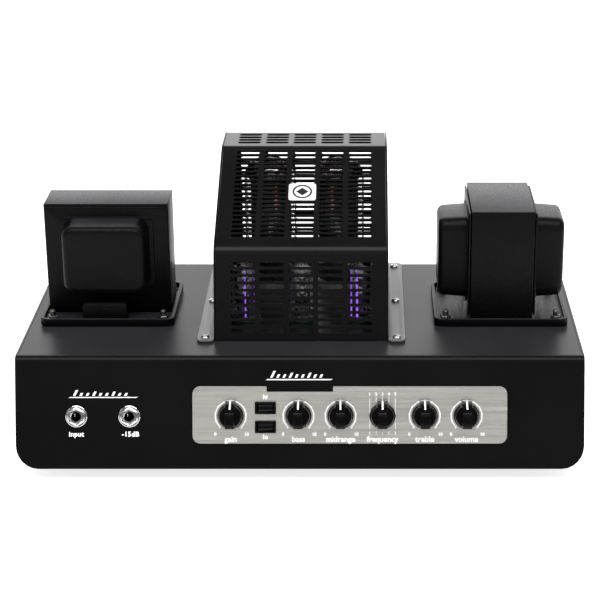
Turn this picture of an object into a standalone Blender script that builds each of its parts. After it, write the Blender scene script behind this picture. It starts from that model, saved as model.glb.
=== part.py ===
"""A valve bass amplifier head: a folded steel chassis on four feet, two transformers, a slotted valve cage, six
rotary controls, rocker switches, jacks and the rear fittings. Metres, +Z up, the front faces -Y and leans back,
and the origin is on the ground under the middle of the amplifier."""

import bpy
import bmesh
from math import atan2, cos, degrees, pi, radians, sin, tan
from mathutils import Matrix, Vector

MM = 0.001
GAP = 0.3                     # clearance between pieces that touch on the real amplifier

# Driving dimensions, in millimetres.
WIDTH, DEPTH, BODY_HEIGHT = 406.0, 202.0, 77.0      # the depth is the deck's
LEAN = 17.0                   # degrees that the front panel leans back from upright
FOOT_HEIGHT, FOOT_RADIUS, FOOT_INSET_X = 9.0, 11.0, 45.0
FOOT_BEHIND_FRONT, FOOT_INSET_Y = 18.0, 40.0        # from the deck's front edge, and from the back
SHEET = 1.5                   # chassis sheet
BEND = 5.0                    # outside radius of the chassis bends
CORNER = 16.0                 # radius of the two lower corners
KNOB_OUT = 15.0               # how far the knobs stand out from the panel
FRONT_REACH, REAR_REACH = 29.0, 4.0     # the knobs in front of the deck's edge, and the ground lift behind

FRONT = -(DEPTH + FRONT_REACH + REAR_REACH) / 2 + FRONT_REACH
BACK = FRONT + DEPTH
FLOOR = FOOT_HEIGHT
DECK = FOOT_HEIGHT + BODY_HEIGHT
HALF = WIDTH / 2

# The front panel is drawn upright in the plane y = FRONT and hung from the deck's edge, then leaned back.
HANG = Vector((0, FRONT, DECK))
LEANING = Matrix.Translation(HANG) @ Matrix.Rotation(radians(-LEAN), 4, "X") @ Matrix.Translation(-HANG)
UPRIGHT = Matrix.Identity(4)

PLATE_X, PLATE_Z, PLATE_SIZE, PLATE_THICK = 35.6, DECK - 41.5, (224.2, 41.0), 1.2
PLATE_CORNER, NOTCH_HALF, NOTCH_DEEP = 5.4, 23.7, 3.9
CONTROL_Z = DECK - 42.2
KNOB_NAMES = ("gain", "bass", "midrange", "frequency", "treble", "volume")
KNOB_X = (-49.3, -1.0, 29.0, 58.9, 89.0, 118.8)
KNOB_RADIUS, SHAFT_RADIUS = 9.3, 3.0
ROCKER_X, ROCKER_Z = -24.5, (DECK - 36.4, DECK - 50.0)
ROCKER_PIVOT_DEEP, ROCKER_TRAVEL = 1.8, 18.0
JACK_X, JACK_Z, JACK_BORE = (-159.4, -121.6), DECK - 42.7, 3.5

CAGE_HALF, CAGE_SHEET, CAGE_FRONT, CAGE_BACK = 63.4, 1.3, FRONT + 29.0, FRONT + 192.0
CAGE_KNEE = (FRONT + 46.4, DECK + 65.2)
CAGE_TOP_FRONT, CAGE_TOP = FRONT + 149.4, DECK + 113.0
FLANGE_WIDE = 12.0
SLOT_LONG, SLOT_PITCH = 17.9, 21.3

POWER_VALVE_X, POWER_VALVE_Y = (-27.3, 26.3), FRONT + 150.0
PREAMP_VALVE_X, PREAMP_VALVE_Y = (-43.0, 0.0, 43.0), FRONT + 72.0

TRANSFORMER_BASE, TRANSFORMER_LIP = (99.3, 83.0), 6.0
CORE_LONG, CORE_STACK, CORE_TOP = 92.4, 36.5, DECK + 88.0
OUTPUT_CENTRE = (-144.8, FRONT + 99.5)
POWER_CENTRE = (147.4, FRONT + 99.5)

REAR_Z = DECK - 40.0
INLET_X, MAINS_X, STANDBY_X = 168.0, 128.0, 98.0
SPEAKER_X, IMPEDANCE_X, LINE_X, LIFT_X = (30.0, -6.0), -52.0, -108.0, -146.0


def clear_scene():
    for old in list(bpy.data.objects):
        bpy.data.objects.remove(old, do_unlink=True)


def paint(name, colour, roughness, metallic=0.0):
    made = bpy.data.materials.new(name)
    made.use_nodes = True
    shader = made.node_tree.nodes["Principled BSDF"]
    shader.inputs["Base Color"].default_value = (*colour, 1.0)
    shader.inputs["Roughness"].default_value = roughness
    shader.inputs["Metallic"].default_value = metallic
    made.diffuse_color = (*colour, 1.0)
    return made


# ---- shapes, all given in millimetres ----

def add_box(bm, low, high):
    size = [b - a for a, b in zip(low, high)]
    middle = [(a + b) / 2 for a, b in zip(low, high)]
    place = Matrix.Translation(Vector(middle)) @ Matrix.Diagonal((*size, 1.0))
    return bmesh.ops.create_cube(bm, size=1.0, matrix=place)["verts"]


AXES = {"X": Matrix.Rotation(pi / 2, 4, "Y"), "Y": Matrix.Rotation(-pi / 2, 4, "X"), "Z": Matrix.Identity(4)}


def add_rod(bm, centre, radius, low, high, axis="Z", segments=18):
    """A cylinder from low to high along its axis. The centre's own coordinate on that axis isn't used."""
    middle = list(centre)
    middle["XYZ".index(axis)] = (low + high) / 2
    place = Matrix.Translation(Vector(middle)) @ AXES[axis]
    bmesh.ops.create_cone(bm, cap_ends=True, segments=segments, radius1=radius, radius2=radius,
                          depth=high - low, matrix=place)


def turn(profile, centre, axis="Z", segments=18, outward=1):
    """A solid of revolution from (radius, height) points. Heights grow along outward times the axis."""
    bm = bmesh.new()
    rail = [bm.verts.new((radius, 0.0, height)) for radius, height in profile]
    closed = rail + rail[:1]
    edges = [bm.edges.new(pair) for pair in zip(closed, closed[1:])]
    bmesh.ops.spin(bm, geom=rail + edges, cent=(0, 0, 0), axis=(0, 0, 1), angle=2 * pi, steps=segments)
    bmesh.ops.remove_doubles(bm, verts=bm.verts, dist=1e-4)
    flat = [f for f in bm.faces if f.calc_area() < 1e-6]
    bmesh.ops.delete(bm, geom=flat, context="FACES_ONLY")
    on_axis = [e for e in bm.edges if not e.link_faces]
    bmesh.ops.delete(bm, geom=on_axis, context="EDGES")
    flip = Matrix.Scale(outward, 4, (0, 0, 1))
    bmesh.ops.transform(bm, matrix=Matrix.Translation(Vector(centre)) @ AXES[axis] @ flip, verts=bm.verts)
    return bm


def extrude_outline(outline, plane, low, high):
    """A prism of a closed outline. The plane names the two axes that the outline's points are on."""
    bm = bmesh.new()
    third = next(i for i, axis in enumerate("XYZ") if axis not in plane)
    verts = []
    for point in outline:
        place = [0.0, 0.0, 0.0]
        place["XYZ".index(plane[0])], place["XYZ".index(plane[1])], place[third] = point[0], point[1], low
        verts.append(bm.verts.new(place))
    face = bm.faces.new(verts)
    shift = [0.0, 0.0, 0.0]
    shift[third] = high - low
    moved = bmesh.ops.extrude_face_region(bm, geom=[face])["geom"]
    bmesh.ops.translate(bm, vec=Vector(shift), verts=[v for v in moved if isinstance(v, bmesh.types.BMVert)])
    return bm


def arc(centre, radius, start, end, steps):
    """Points on an arc. The angles are in degrees."""
    angles = [radians(start + (end - start) * i / steps) for i in range(steps + 1)]
    return [(centre[0] + radius * cos(a), centre[1] + radius * sin(a)) for a in angles]


def rounded_rectangle(centre, size, radius, steps=3):
    half_x, half_y = size[0] / 2 - radius, size[1] / 2 - radius
    points = []
    for sx, sy, start in ((1, 1, 0), (-1, 1, 90), (-1, -1, 180), (1, -1, 270)):
        points += arc((centre[0] + sx * half_x, centre[1] + sy * half_y), radius, start, start + 90, steps)
    return points


def fold(corners, thickness, steps=4):
    """The outline of a folded sheet. Corners are (x, y, outside radius) and the sheet lies on their right."""
    outer, inner = [], []
    count = len(corners)
    for i, (x, y, radius) in enumerate(corners):
        here = Vector((x, y))
        before = (here - Vector(corners[i - 1][:2])).normalized() if i else None
        after = (Vector(corners[i + 1][:2]) - here).normalized() if i < count - 1 else None
        if before is None or after is None:
            along = before if after is None else after
            outer.append(tuple(here))
            inner.append(tuple(here + thickness * Vector((along.y, -along.x))))
            continue
        normal_in = Vector((before.y, -before.x))
        normal_out = Vector((after.y, -after.x))
        half = normal_in.angle(normal_out) / 2
        centre = here + (normal_in + normal_out).normalized() * (radius / cos(half))
        begin = atan2(-normal_in.y, -normal_in.x)
        sweep = (atan2(-normal_out.y, -normal_out.x) - begin + pi) % (2 * pi) - pi
        first, last = degrees(begin), degrees(begin + sweep)
        outer += arc(centre, radius, first, last, steps)
        inner += arc(centre, radius - thickness, first, last, steps)
    return outer + inner[::-1]


def make(name, bm, finish=None, pivot=(0.0, 0.0, 0.0), place=UPRIGHT, smooth=40.0):
    """An object from a mesh in millimetres, with its origin on its pivot. The place turns both."""
    pivot = place @ Vector(pivot) if any(pivot) else Vector()
    bmesh.ops.recalc_face_normals(bm, faces=bm.faces)
    bmesh.ops.transform(bm, matrix=place, verts=bm.verts)
    bmesh.ops.scale(bm, vec=(MM, MM, MM), verts=bm.verts)
    bmesh.ops.translate(bm, vec=-pivot * MM, verts=bm.verts)
    mesh = bpy.data.meshes.new(name)
    bm.to_mesh(mesh)
    bm.free()
    mesh.shade_smooth()
    mesh.set_sharp_from_angle(angle=radians(smooth))
    made = bpy.data.objects.new(name, mesh)
    made.location = pivot * MM
    bpy.context.scene.collection.objects.link(made)
    if finish:
        mesh.materials.append(finish)
    return made


def boolean(target, operation, bm, place=UPRIGHT):
    """Cuts, joins or trims the target with a second shape, which stays as a hidden helper."""
    helper = make(f"{target.name}_{operation.lower()}_{len(target.modifiers)}", bm, place=place)
    helper.hide_render = True
    helper.display_type = "WIRE"
    step = target.modifiers.new(operation.title(), "BOOLEAN")
    step.operation = operation
    step.object = helper
    return helper


def bevel(target, width, segments=2, angle=40.0):
    step = target.modifiers.new("Bevel", "BEVEL")
    step.width = width * MM
    step.segments = segments
    step.limit_method = "ANGLE"
    step.angle_limit = radians(angle)


# ---- chassis ----

def body_outline(inset=0.0):
    """The front view of the chassis: square upper corners and rounded lower ones."""
    radius = CORNER - inset
    low, side = FLOOR + inset, HALF - inset
    lower = arc((side - radius, low + radius), radius, 0, -90, 6)
    lower += arc((-side + radius, low + radius), radius, -90, -180, 6)
    return [(side, DECK)] + lower + [(-side, DECK)]


def front_cutters():
    """The front panel's holes, drawn upright."""
    bm = bmesh.new()
    for x in KNOB_X:
        add_rod(bm, (x, 0, CONTROL_Z), 4.0, FRONT - 2, FRONT + 4, "Y", 16)
    for z in ROCKER_Z:
        add_box(bm, (ROCKER_X - 6.9, FRONT - 2, z - 3.8), (ROCKER_X + 6.9, FRONT + 4, z + 3.8))
    for x in JACK_X:
        add_rod(bm, (x, 0, JACK_Z), 5.0, FRONT - 2, FRONT + 4, "Y", 16)
    return bm


def chassis_cutters():
    """The deck's and the back's holes, and the strips that the bottom cover's sides stand in."""
    bm = bmesh.new()
    for side in (-1, 1):
        inner, outer = sorted((side * (HALF - SHEET - GAP), side * (HALF + 5)))
        add_box(bm, (inner, FRONT + BEND, FLOOR - 5), (outer, BACK - BEND, DECK + 5))
    for x in SPEAKER_X:
        add_rod(bm, (x, 0, REAR_Z), 5.0, BACK - 4, BACK + 2, "Y", 16)
    add_box(bm, (INLET_X - 14.4, BACK - 4, REAR_Z - 10.4), (INLET_X + 14.4, BACK + 2, REAR_Z + 10.4))
    for x in (MAINS_X, STANDBY_X):
        add_box(bm, (x - 6.6, BACK - 4, REAR_Z - 9.6), (x + 6.6, BACK + 2, REAR_Z + 9.6))
    add_box(bm, (IMPEDANCE_X - 6.5, BACK - 4, REAR_Z - 3.0), (IMPEDANCE_X + 6.5, BACK + 2, REAR_Z + 3.0))
    add_rod(bm, (LINE_X, 0, REAR_Z), 11.8, BACK - 4, BACK + 2, "Y", 18)
    add_rod(bm, (LIFT_X, 0, REAR_Z), 3.8, BACK - 4, BACK + 2, "Y", 16)
    for x in POWER_VALVE_X:
        add_rod(bm, (x, POWER_VALVE_Y, 0), 15.5, DECK - 4, DECK + 2)
    for x in PREAMP_VALVE_X:
        add_rod(bm, (x, PREAMP_VALVE_Y, 0), 10.5, DECK - 4, DECK + 2, segments=16)
    return bm


def panel_y(z, deep=0.0):
    """How far forward the panel's face is at a height, or a plane parallel to it and deeper in the chassis."""
    return FRONT + (z - DECK) * tan(radians(LEAN)) + deep / cos(radians(LEAN))


def chassis(finish):
    low = FLOOR - 2
    profile = fold([(panel_y(low), low, 0), (FRONT, DECK, BEND), (BACK, DECK, BEND), (BACK, low, 0)], SHEET)
    shell = make("chassis_shell", extrude_outline(profile, "YZ", -HALF, HALF), finish)
    boolean(shell, "INTERSECT", extrude_outline(body_outline(), "XZ", FRONT - 60, BACK + 5))
    boolean(shell, "DIFFERENCE", chassis_cutters())
    boolean(shell, "DIFFERENCE", front_cutters(), LEANING)


def bottom_cover(finish):
    """The U-shaped cover: two sides and the bottom in one sheet, standing between the front and the back."""
    outer = body_outline()
    inner = body_outline(SHEET)
    outline = outer + inner[::-1]
    cover = make("bottom_cover", extrude_outline(outline, "XZ", FRONT - 60, BACK - SHEET - GAP), finish)
    low, high, deep = FLOOR - 5, DECK + 5, SHEET + GAP
    behind_panel = [(panel_y(low, deep), low), (panel_y(high, deep), high), (BACK + 5, high), (BACK + 5, low)]
    boolean(cover, "INTERSECT", extrude_outline(behind_panel, "YZ", -HALF - 5, HALF + 5))
    below_bends = bmesh.new()
    for y in (FRONT, BACK - BEND):
        add_box(below_bends, (-HALF - 5, y, DECK - BEND), (HALF + 5, y + BEND, DECK + 5))
    boolean(cover, "DIFFERENCE", below_bends)


def feet(finish):
    for side, x in (("left", -HALF + FOOT_INSET_X), ("right", HALF - FOOT_INSET_X)):
        for end, y in (("front", FRONT + FOOT_BEHIND_FRONT), ("rear", BACK - FOOT_INSET_Y)):
            top, recess = FLOOR - GAP, 3.0
            profile = [(0, recess), (4.5, recess), (4.5, 0), (FOOT_RADIUS - 1.5, 0), (FOOT_RADIUS - 0.5, 0.8),
                       (FOOT_RADIUS, 2.5), (FOOT_RADIUS + 0.8, top), (0, top)]
            make(f"foot_{end}_{side}", turn(profile, (x, y, 0)), finish)


# ---- front panel ----

def control_plate(finish):
    left, right = PLATE_X - PLATE_SIZE[0] / 2, PLATE_X + PLATE_SIZE[0] / 2
    low, high = PLATE_Z - PLATE_SIZE[1] / 2, PLATE_Z + PLATE_SIZE[1] / 2
    r = PLATE_CORNER
    outline = arc((right - r, high - r), r, 90, 0, 4) + arc((right - r, low + r), r, 0, -90, 4)
    outline += arc((left + r, low + r), r, -90, -180, 4) + arc((left + r, high - r), r, 180, 90, 4)
    for x, z in ((-NOTCH_HALF, high), (-NOTCH_HALF, high - NOTCH_DEEP), (NOTCH_HALF, high - NOTCH_DEEP),
                 (NOTCH_HALF, high)):
        outline.append((x, z))
    back = FRONT - GAP
    plate = make("control_plate", extrude_outline(outline, "XZ", back - PLATE_THICK, back), finish, place=LEANING)
    holes = bmesh.new()
    for x in KNOB_X:
        add_rod(holes, (x, 0, CONTROL_Z), 4.0, back - 4, back + 2, "Y", 16)
    for z in ROCKER_Z:
        add_box(holes, (ROCKER_X - 6.9, back - 4, z - 3.8), (ROCKER_X + 6.9, back + 2, z + 3.8))
    boolean(plate, "DIFFERENCE", holes, LEANING)


def knobs(finish):
    """Each knob turns about its shaft, so its origin is on the shaft's axis at the panel."""
    face = FRONT - GAP - PLATE_THICK
    for name, x in zip(KNOB_NAMES, KNOB_X):
        pivot = (x, FRONT, CONTROL_Z)
        skirt = [(0, -0.6), (KNOB_RADIUS, -0.6), (KNOB_RADIUS, -3.0), (KNOB_RADIUS - 0.7, -4.0),
                 (KNOB_RADIUS - 1.6, -7.0), (0, -7.0)]
        knob = make(f"knob_{name}", turn(skirt, (x, face, CONTROL_Z), "Y", 22), finish, pivot, LEANING)
        # The grip is a bar whose upper end slopes down to a pointer just past the skirt's edge.
        side_view = [(face - 1.4, 11.0), (face - 3.6, 11.0), (FRONT - 11.0, 7.6), (FRONT - KNOB_OUT, 3.2),
                     (FRONT - KNOB_OUT, -7.9), (FRONT - 8.0, -8.6), (face - 1.4, -8.6)]
        side_view = [(y, CONTROL_Z + up) for y, up in side_view]
        boolean(knob, "UNION", extrude_outline(side_view, "YZ", x - 3.3, x + 3.3), LEANING)
        shaft = bmesh.new()
        add_rod(shaft, (x, 0, CONTROL_Z), SHAFT_RADIUS, face - 2, FRONT + 9, "Y", 12)
        boolean(knob, "UNION", shaft, LEANING)


def control_board(finish):
    """The board behind the panel with its six potentiometers. Each has a blind bore that its shaft turns in."""
    pots = bmesh.new()
    for x in KNOB_X:
        add_rod(pots, (x, 0, CONTROL_Z), 8.2, FRONT + SHEET + 1.0, FRONT + 16.5, "Y", 20)
    board = bmesh.new()
    add_box(board, (KNOB_X[0] - 13, FRONT + 16, CONTROL_Z - 18), (KNOB_X[-1] + 13, FRONT + 17.6, CONTROL_Z + 18))
    made = make("control_board", board, finish, place=LEANING)
    boolean(made, "UNION", pots, LEANING)
    bores = bmesh.new()
    for x in KNOB_X:
        add_rod(bores, (x, 0, CONTROL_Z), SHAFT_RADIUS + GAP, FRONT - 2, FRONT + 9.6, "Y", 12)
    boolean(made, "DIFFERENCE", bores, LEANING)


def rocker_switch(name, centre, size, facing, long_axis, black, lever):
    """A housing with a bezel and a cavity, and the rocker that tips in it. Facing is -1 at the front, 1 behind."""
    x, face, z = centre
    place = LEANING if facing < 0 else UPRIGHT
    half = Vector((size[0] / 2, size[1] / 2))
    inner = half - Vector((1.3, 1.3))

    def slab(bm, spread, near, far):
        y = sorted((face + facing * near, face + facing * far))
        add_box(bm, (x - spread.x, y[0], z - spread.y), (x + spread.x, y[1], z + spread.y))

    housing = bmesh.new()
    slab(housing, half, 0.3, 1.6)
    body = make(f"{name}_housing", housing, black, place=place)
    neck = bmesh.new()
    slab(neck, half - Vector((0.95, 0.95)), 0.9, -14.0)
    boolean(body, "UNION", neck, place)
    cavity = bmesh.new()
    slab(cavity, inner, 4.0, -6.0)
    boolean(body, "DIFFERENCE", cavity, place)

    # The rocker's face is two flats that meet at its middle. At rest one end stands proud and the other is in.
    long = 0 if long_axis == "X" else 1
    reach, wide = inner[long] - 2 * GAP, inner[1 - long] - GAP - 0.1
    pivot_y = face - facing * ROCKER_PIVOT_DEEP
    tilt = radians(ROCKER_TRAVEL / 2)
    placed = []
    for along, out in ((-reach, -0.3), (-reach, 2.6), (0, 2.1), (reach, 2.6), (reach, -0.3)):
        shift = along * cos(tilt) + out * sin(tilt)
        depth = pivot_y + facing * (out * cos(tilt) - along * sin(tilt))
        placed.append((x + shift, depth) if long_axis == "X" else (depth, z + shift))
    base, plane = (z, "XY") if long_axis == "X" else (x, "YZ")
    bm = extrude_outline(placed, plane, base - wide, base + wide)
    make(name, bm, lever, (x, pivot_y, z), place)


def jack(name, x, z, face, facing, black):
    """A quarter-inch socket: a moulded body with a bored bushing that stands through the sheet."""
    inside = face - facing * (SHEET + GAP)
    place = LEANING if facing < 0 else UPRIGHT
    bushing = [(JACK_BORE, 3.1), (4.7, 3.1), (4.7, -2.5), (8.2, -2.5), (8.2, -24.0), (JACK_BORE, -24.0)]
    body = make(name, turn(bushing, (x, face, z), "Y", 16, facing), black, place=place)
    block = bmesh.new()
    y = sorted((inside - facing * 0.4, face - facing * 25.0))
    add_box(block, (x - 9.5, y[0], z - 9.5), (x + 9.5, y[1], z + 9.5))
    boolean(body, "UNION", block, place)
    bore = bmesh.new()
    y = sorted((face + facing * 6.0, face - facing * 24.0))
    add_rod(bore, (x, 0, z), JACK_BORE, y[0], y[1], "Y", 16)
    boolean(body, "DIFFERENCE", bore, place)


def jack_nut(name, x, z, face, facing, chrome):
    ring = [(5.05, 0.3), (7.65, 0.3), (7.65, 1.9), (6.9, 2.7), (5.05, 2.7)]
    make(f"{name}_nut", turn(ring, (x, face, z), "Y", 18, facing), chrome, place=LEANING)


# ---- rear panel ----

def mains_inlet(black):
    bm = extrude_outline(rounded_rectangle((INLET_X, REAR_Z), (46, 24), 6), "XZ", BACK + GAP, BACK + GAP + 2.6)
    inlet = make("mains_inlet", bm, black)
    body = bmesh.new()
    add_box(body, (INLET_X - 13.8, BACK - 20, REAR_Z - 9.8), (INLET_X + 13.8, BACK + 1.5, REAR_Z + 9.8))
    boolean(inlet, "UNION", body)
    recess = bmesh.new()
    add_box(recess, (INLET_X - 12.2, BACK - 14, REAR_Z - 8.2), (INLET_X + 12.2, BACK + 6, REAR_Z + 8.2))
    boolean(inlet, "DIFFERENCE", recess)
    pins = bmesh.new()
    for x, z in ((-7.0, -2.0), (7.0, -2.0), (0.0, 4.2)):
        add_box(pins, (INLET_X + x - 1, BACK - 16, REAR_Z + z - 2), (INLET_X + x + 1, BACK - 1, REAR_Z + z + 2))
    boolean(inlet, "UNION", pins)


def line_out(black):
    bm = extrude_outline(rounded_rectangle((LINE_X, REAR_Z), (27, 31), 3), "XZ", BACK + GAP, BACK + GAP + 2.4)
    socket = make("line_out_connector", bm, black)
    cup = bmesh.new()
    add_rod(cup, (LINE_X, 0, REAR_Z), 11.3, BACK - 20, BACK + 1.5, "Y", 18)
    boolean(socket, "UNION", cup)
    hollow = bmesh.new()
    add_rod(hollow, (LINE_X, 0, REAR_Z), 9.6, BACK - 13, BACK + 6, "Y", 18)
    boolean(socket, "DIFFERENCE", hollow)
    pins = bmesh.new()
    for x, z in ((-4.6, 2.6), (4.6, 2.6), (0.0, -5.8)):
        add_rod(pins, (LINE_X + x, 0, REAR_Z + z), 1.2, BACK - 15, BACK - 1.5, "Y", 10)
    boolean(socket, "UNION", pins)


def impedance_switch(black, lever):
    bm = bmesh.new()
    add_box(bm, (IMPEDANCE_X - 9, BACK - SHEET - 9, REAR_Z - 5), (IMPEDANCE_X + 9, BACK - SHEET - GAP, REAR_Z + 5))
    body = make("impedance_switch_body", bm, black)
    slot = bmesh.new()
    add_box(slot, (IMPEDANCE_X - 6, BACK - SHEET - 5, REAR_Z - 2.3),
            (IMPEDANCE_X + 6, BACK, REAR_Z + 2.3))
    boolean(body, "DIFFERENCE", slot)
    slider = bmesh.new()
    add_box(slider, (IMPEDANCE_X - 5.6, BACK - SHEET - 4.6, REAR_Z - 1.9),
            (IMPEDANCE_X - 0.6, BACK + 1.8, REAR_Z + 1.9))
    make("impedance_slider", slider, lever, (IMPEDANCE_X, BACK, REAR_Z))


def ground_lift(finish):
    profile = [(0, 4.0), (3.0, 4.0), (3.4, 3.4), (3.4, -9.0), (0, -9.0)]
    make("ground_lift_button", turn(profile, (LIFT_X, BACK, REAR_Z), "Y", 16), finish, (LIFT_X, BACK, REAR_Z))


def main_board(finish):
    """The main circuit board with its filter capacitors and the ground lift switch's body."""
    bm = bmesh.new()
    add_box(bm, (-160, FRONT + 34, FLOOR + 12), (160, FRONT + 168, FLOOR + 13.6))
    board = make("main_board", bm, finish)
    cans = bmesh.new()
    for x in (-70, -44, 44, 70):
        add_rod(cans, (x, FRONT + 120, 0), 11, FLOOR + 13, FLOOR + 46, segments=16)
    for x in (-20, 20):
        add_box(cans, (x - 14, FRONT + 60, FLOOR + 13), (x + 14, FRONT + 76, FLOOR + 30))
    boolean(board, "UNION", cans)


# ---- valve cage ----

def cage_stations():
    """The folded sheet as (y, z, slotted) stations from the front foot, over the top, to the back foot.
    A station's flag says whether the strip that starts there holds a row of slots."""
    knee_r, top_r = 9.0, 4.0
    corners = [(CAGE_FRONT + 0.1, DECK + GAP + 0.4, 0), (*CAGE_KNEE, knee_r), (CAGE_TOP_FRONT, CAGE_TOP, top_r),
               (CAGE_BACK, CAGE_TOP, top_r), (CAGE_BACK, DECK + GAP, 0)]
    # For each face: the number of rows, where the first starts, a slot's height and the pitch.
    rows = [(10, 5.9, 3.2, 5.38), (20, 8.4, 3.0, 4.84), (3, 8.6, 5.2, 7.6), (9, 8.5, 3.6, 10.68)]
    stations, starts, ends = [], [], []
    for i, (y, z, radius) in enumerate(corners):
        if i in (0, len(corners) - 1):
            starts.append(Vector((y, z)))
            ends.append(Vector((y, z)))
            continue
        here = Vector((y, z))
        before = (here - Vector(corners[i - 1][:2])).normalized()
        after = (Vector(corners[i + 1][:2]) - here).normalized()
        reach = radius * tan(before.angle(after) / 2)
        ends.append(here - before * reach)
        starts.append(here + after * reach)
    for i, (count, offset, high, pitch) in enumerate(rows):
        begin, end = starts[i], ends[i + 1]
        along = (end - begin).normalized()
        stations.append((begin, along, False))
        for row in range(count):
            low = begin + along * (offset + row * pitch)
            stations.append((low, along, True))
            stations.append((low + along * high, along, False))
        stations.append((end, along, False))
        if i < len(rows) - 1:
            after = (ends[i + 2] - starts[i + 1]).normalized()
            radius = corners[i + 1][2]
            centre = end + radius * Vector((along.y, -along.x))
            turn_angle = along.angle(after)
            for step in (1, 2):
                spin = turn_angle * step / 3
                spoke = Matrix.Rotation(-spin, 2) @ (end - centre)
                stations.append((centre + spoke, Matrix.Rotation(-spin, 2) @ along, False))
    return stations


def cage_wrap(finish):
    """Front, slope, top and back of the cage in one slotted sheet: a grid of strips with the slots left out."""
    half = CAGE_HALF - CAGE_SHEET - GAP
    across = [-half]
    for column in range(-2, 3):
        across += [column * SLOT_PITCH - SLOT_LONG / 2, column * SLOT_PITCH + SLOT_LONG / 2]
    across.append(half)
    bm = bmesh.new()
    outer, inner = [], []
    for place, along, _ in cage_stations():
        normal = Vector((along.y, -along.x))
        outer.append([bm.verts.new((x, place.x, place.y)) for x in across])
        back = place + normal * CAGE_SHEET
        inner.append([bm.verts.new((x, back.x, back.y)) for x in across])
    slotted = [station[2] for station in cage_stations()]
    rows, columns = len(slotted) - 1, len(across) - 1

    def solid(row, column):
        inside = 0 <= row < rows and 0 <= column < columns
        return inside and not (slotted[row] and column % 2 == 1)

    for row in range(rows):
        for column in range(columns):
            if not solid(row, column):
                continue
            ring = ((row, column), (row, column + 1), (row + 1, column + 1), (row + 1, column))
            bm.faces.new([outer[r][c] for r, c in ring])
            bm.faces.new([inner[r][c] for r, c in reversed(ring)])
            sides = ((row - 1, column), (row, column + 1), (row + 1, column), (row, column - 1))
            for (a, b), beyond in zip(zip(ring, ring[1:] + ring[:1]), sides):
                if not solid(*beyond):
                    bm.faces.new([outer[b[0]][b[1]], outer[a[0]][a[1]], inner[a[0]][a[1]], inner[b[0]][b[1]]])
    loose = [v for v in bm.verts if not v.link_faces]
    bmesh.ops.delete(bm, geom=loose, context="VERTS")
    make("cage_wrap", bm, finish, smooth=25)


def cage_sides(finish, screw_finish):
    """The two flat ends of the cage, each with the flange that three screws hold to the deck."""
    outline = [(CAGE_FRONT, DECK + GAP), (CAGE_KNEE[0] - 1.0, CAGE_KNEE[1] - 3.6),
               (CAGE_KNEE[0] + 0.9, CAGE_KNEE[1] - 1.2), (CAGE_KNEE[0] + 3.8, CAGE_KNEE[1] + 1.6),
               (CAGE_TOP_FRONT - 1.0, CAGE_TOP - 0.5), (CAGE_TOP_FRONT + 1.0, CAGE_TOP),
               (CAGE_BACK, CAGE_TOP), (CAGE_BACK, DECK + GAP)]
    for name, side in (("left", -1), ("right", 1)):
        x = sorted((side * (CAGE_HALF - CAGE_SHEET), side * CAGE_HALF))
        panel = make(f"cage_side_{name}", extrude_outline(outline, "YZ", *x), finish)
        reach = sorted((side * (CAGE_HALF - 0.6), side * (CAGE_HALF + FLANGE_WIDE)))
        middle = (sum(reach) / 2, (CAGE_FRONT + CAGE_BACK) / 2)
        size = (reach[1] - reach[0], CAGE_BACK - CAGE_FRONT + 5.6)
        flange = extrude_outline(rounded_rectangle(middle, size, 3.0, 2), "XY", DECK + GAP, DECK + GAP + 1.6)
        boolean(panel, "UNION", flange)
        holes = bmesh.new()
        for place, y in zip(("front", "middle", "rear"), (FRONT + 27.5 + 3, FRONT + 106.0, FRONT + 184.5)):
            centre = (side * 69.7, y, DECK)
            add_rod(holes, centre, 1.9, DECK - 3, DECK + 5, segments=10)
            top = 2.2
            head = [(0, top), (1.6, top), (2.9, top - 0.9), (3.1, 0.0), (1.5, 0.0), (1.5, -1.6), (0, -1.6)]
            make(f"cage_screw_{name}_{place}", turn(head, (centre[0], y, DECK + 2 * GAP + 1.6), "Z", 14), screw_finish)
        boolean(panel, "DIFFERENCE", holes)


# ---- valves ----

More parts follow.
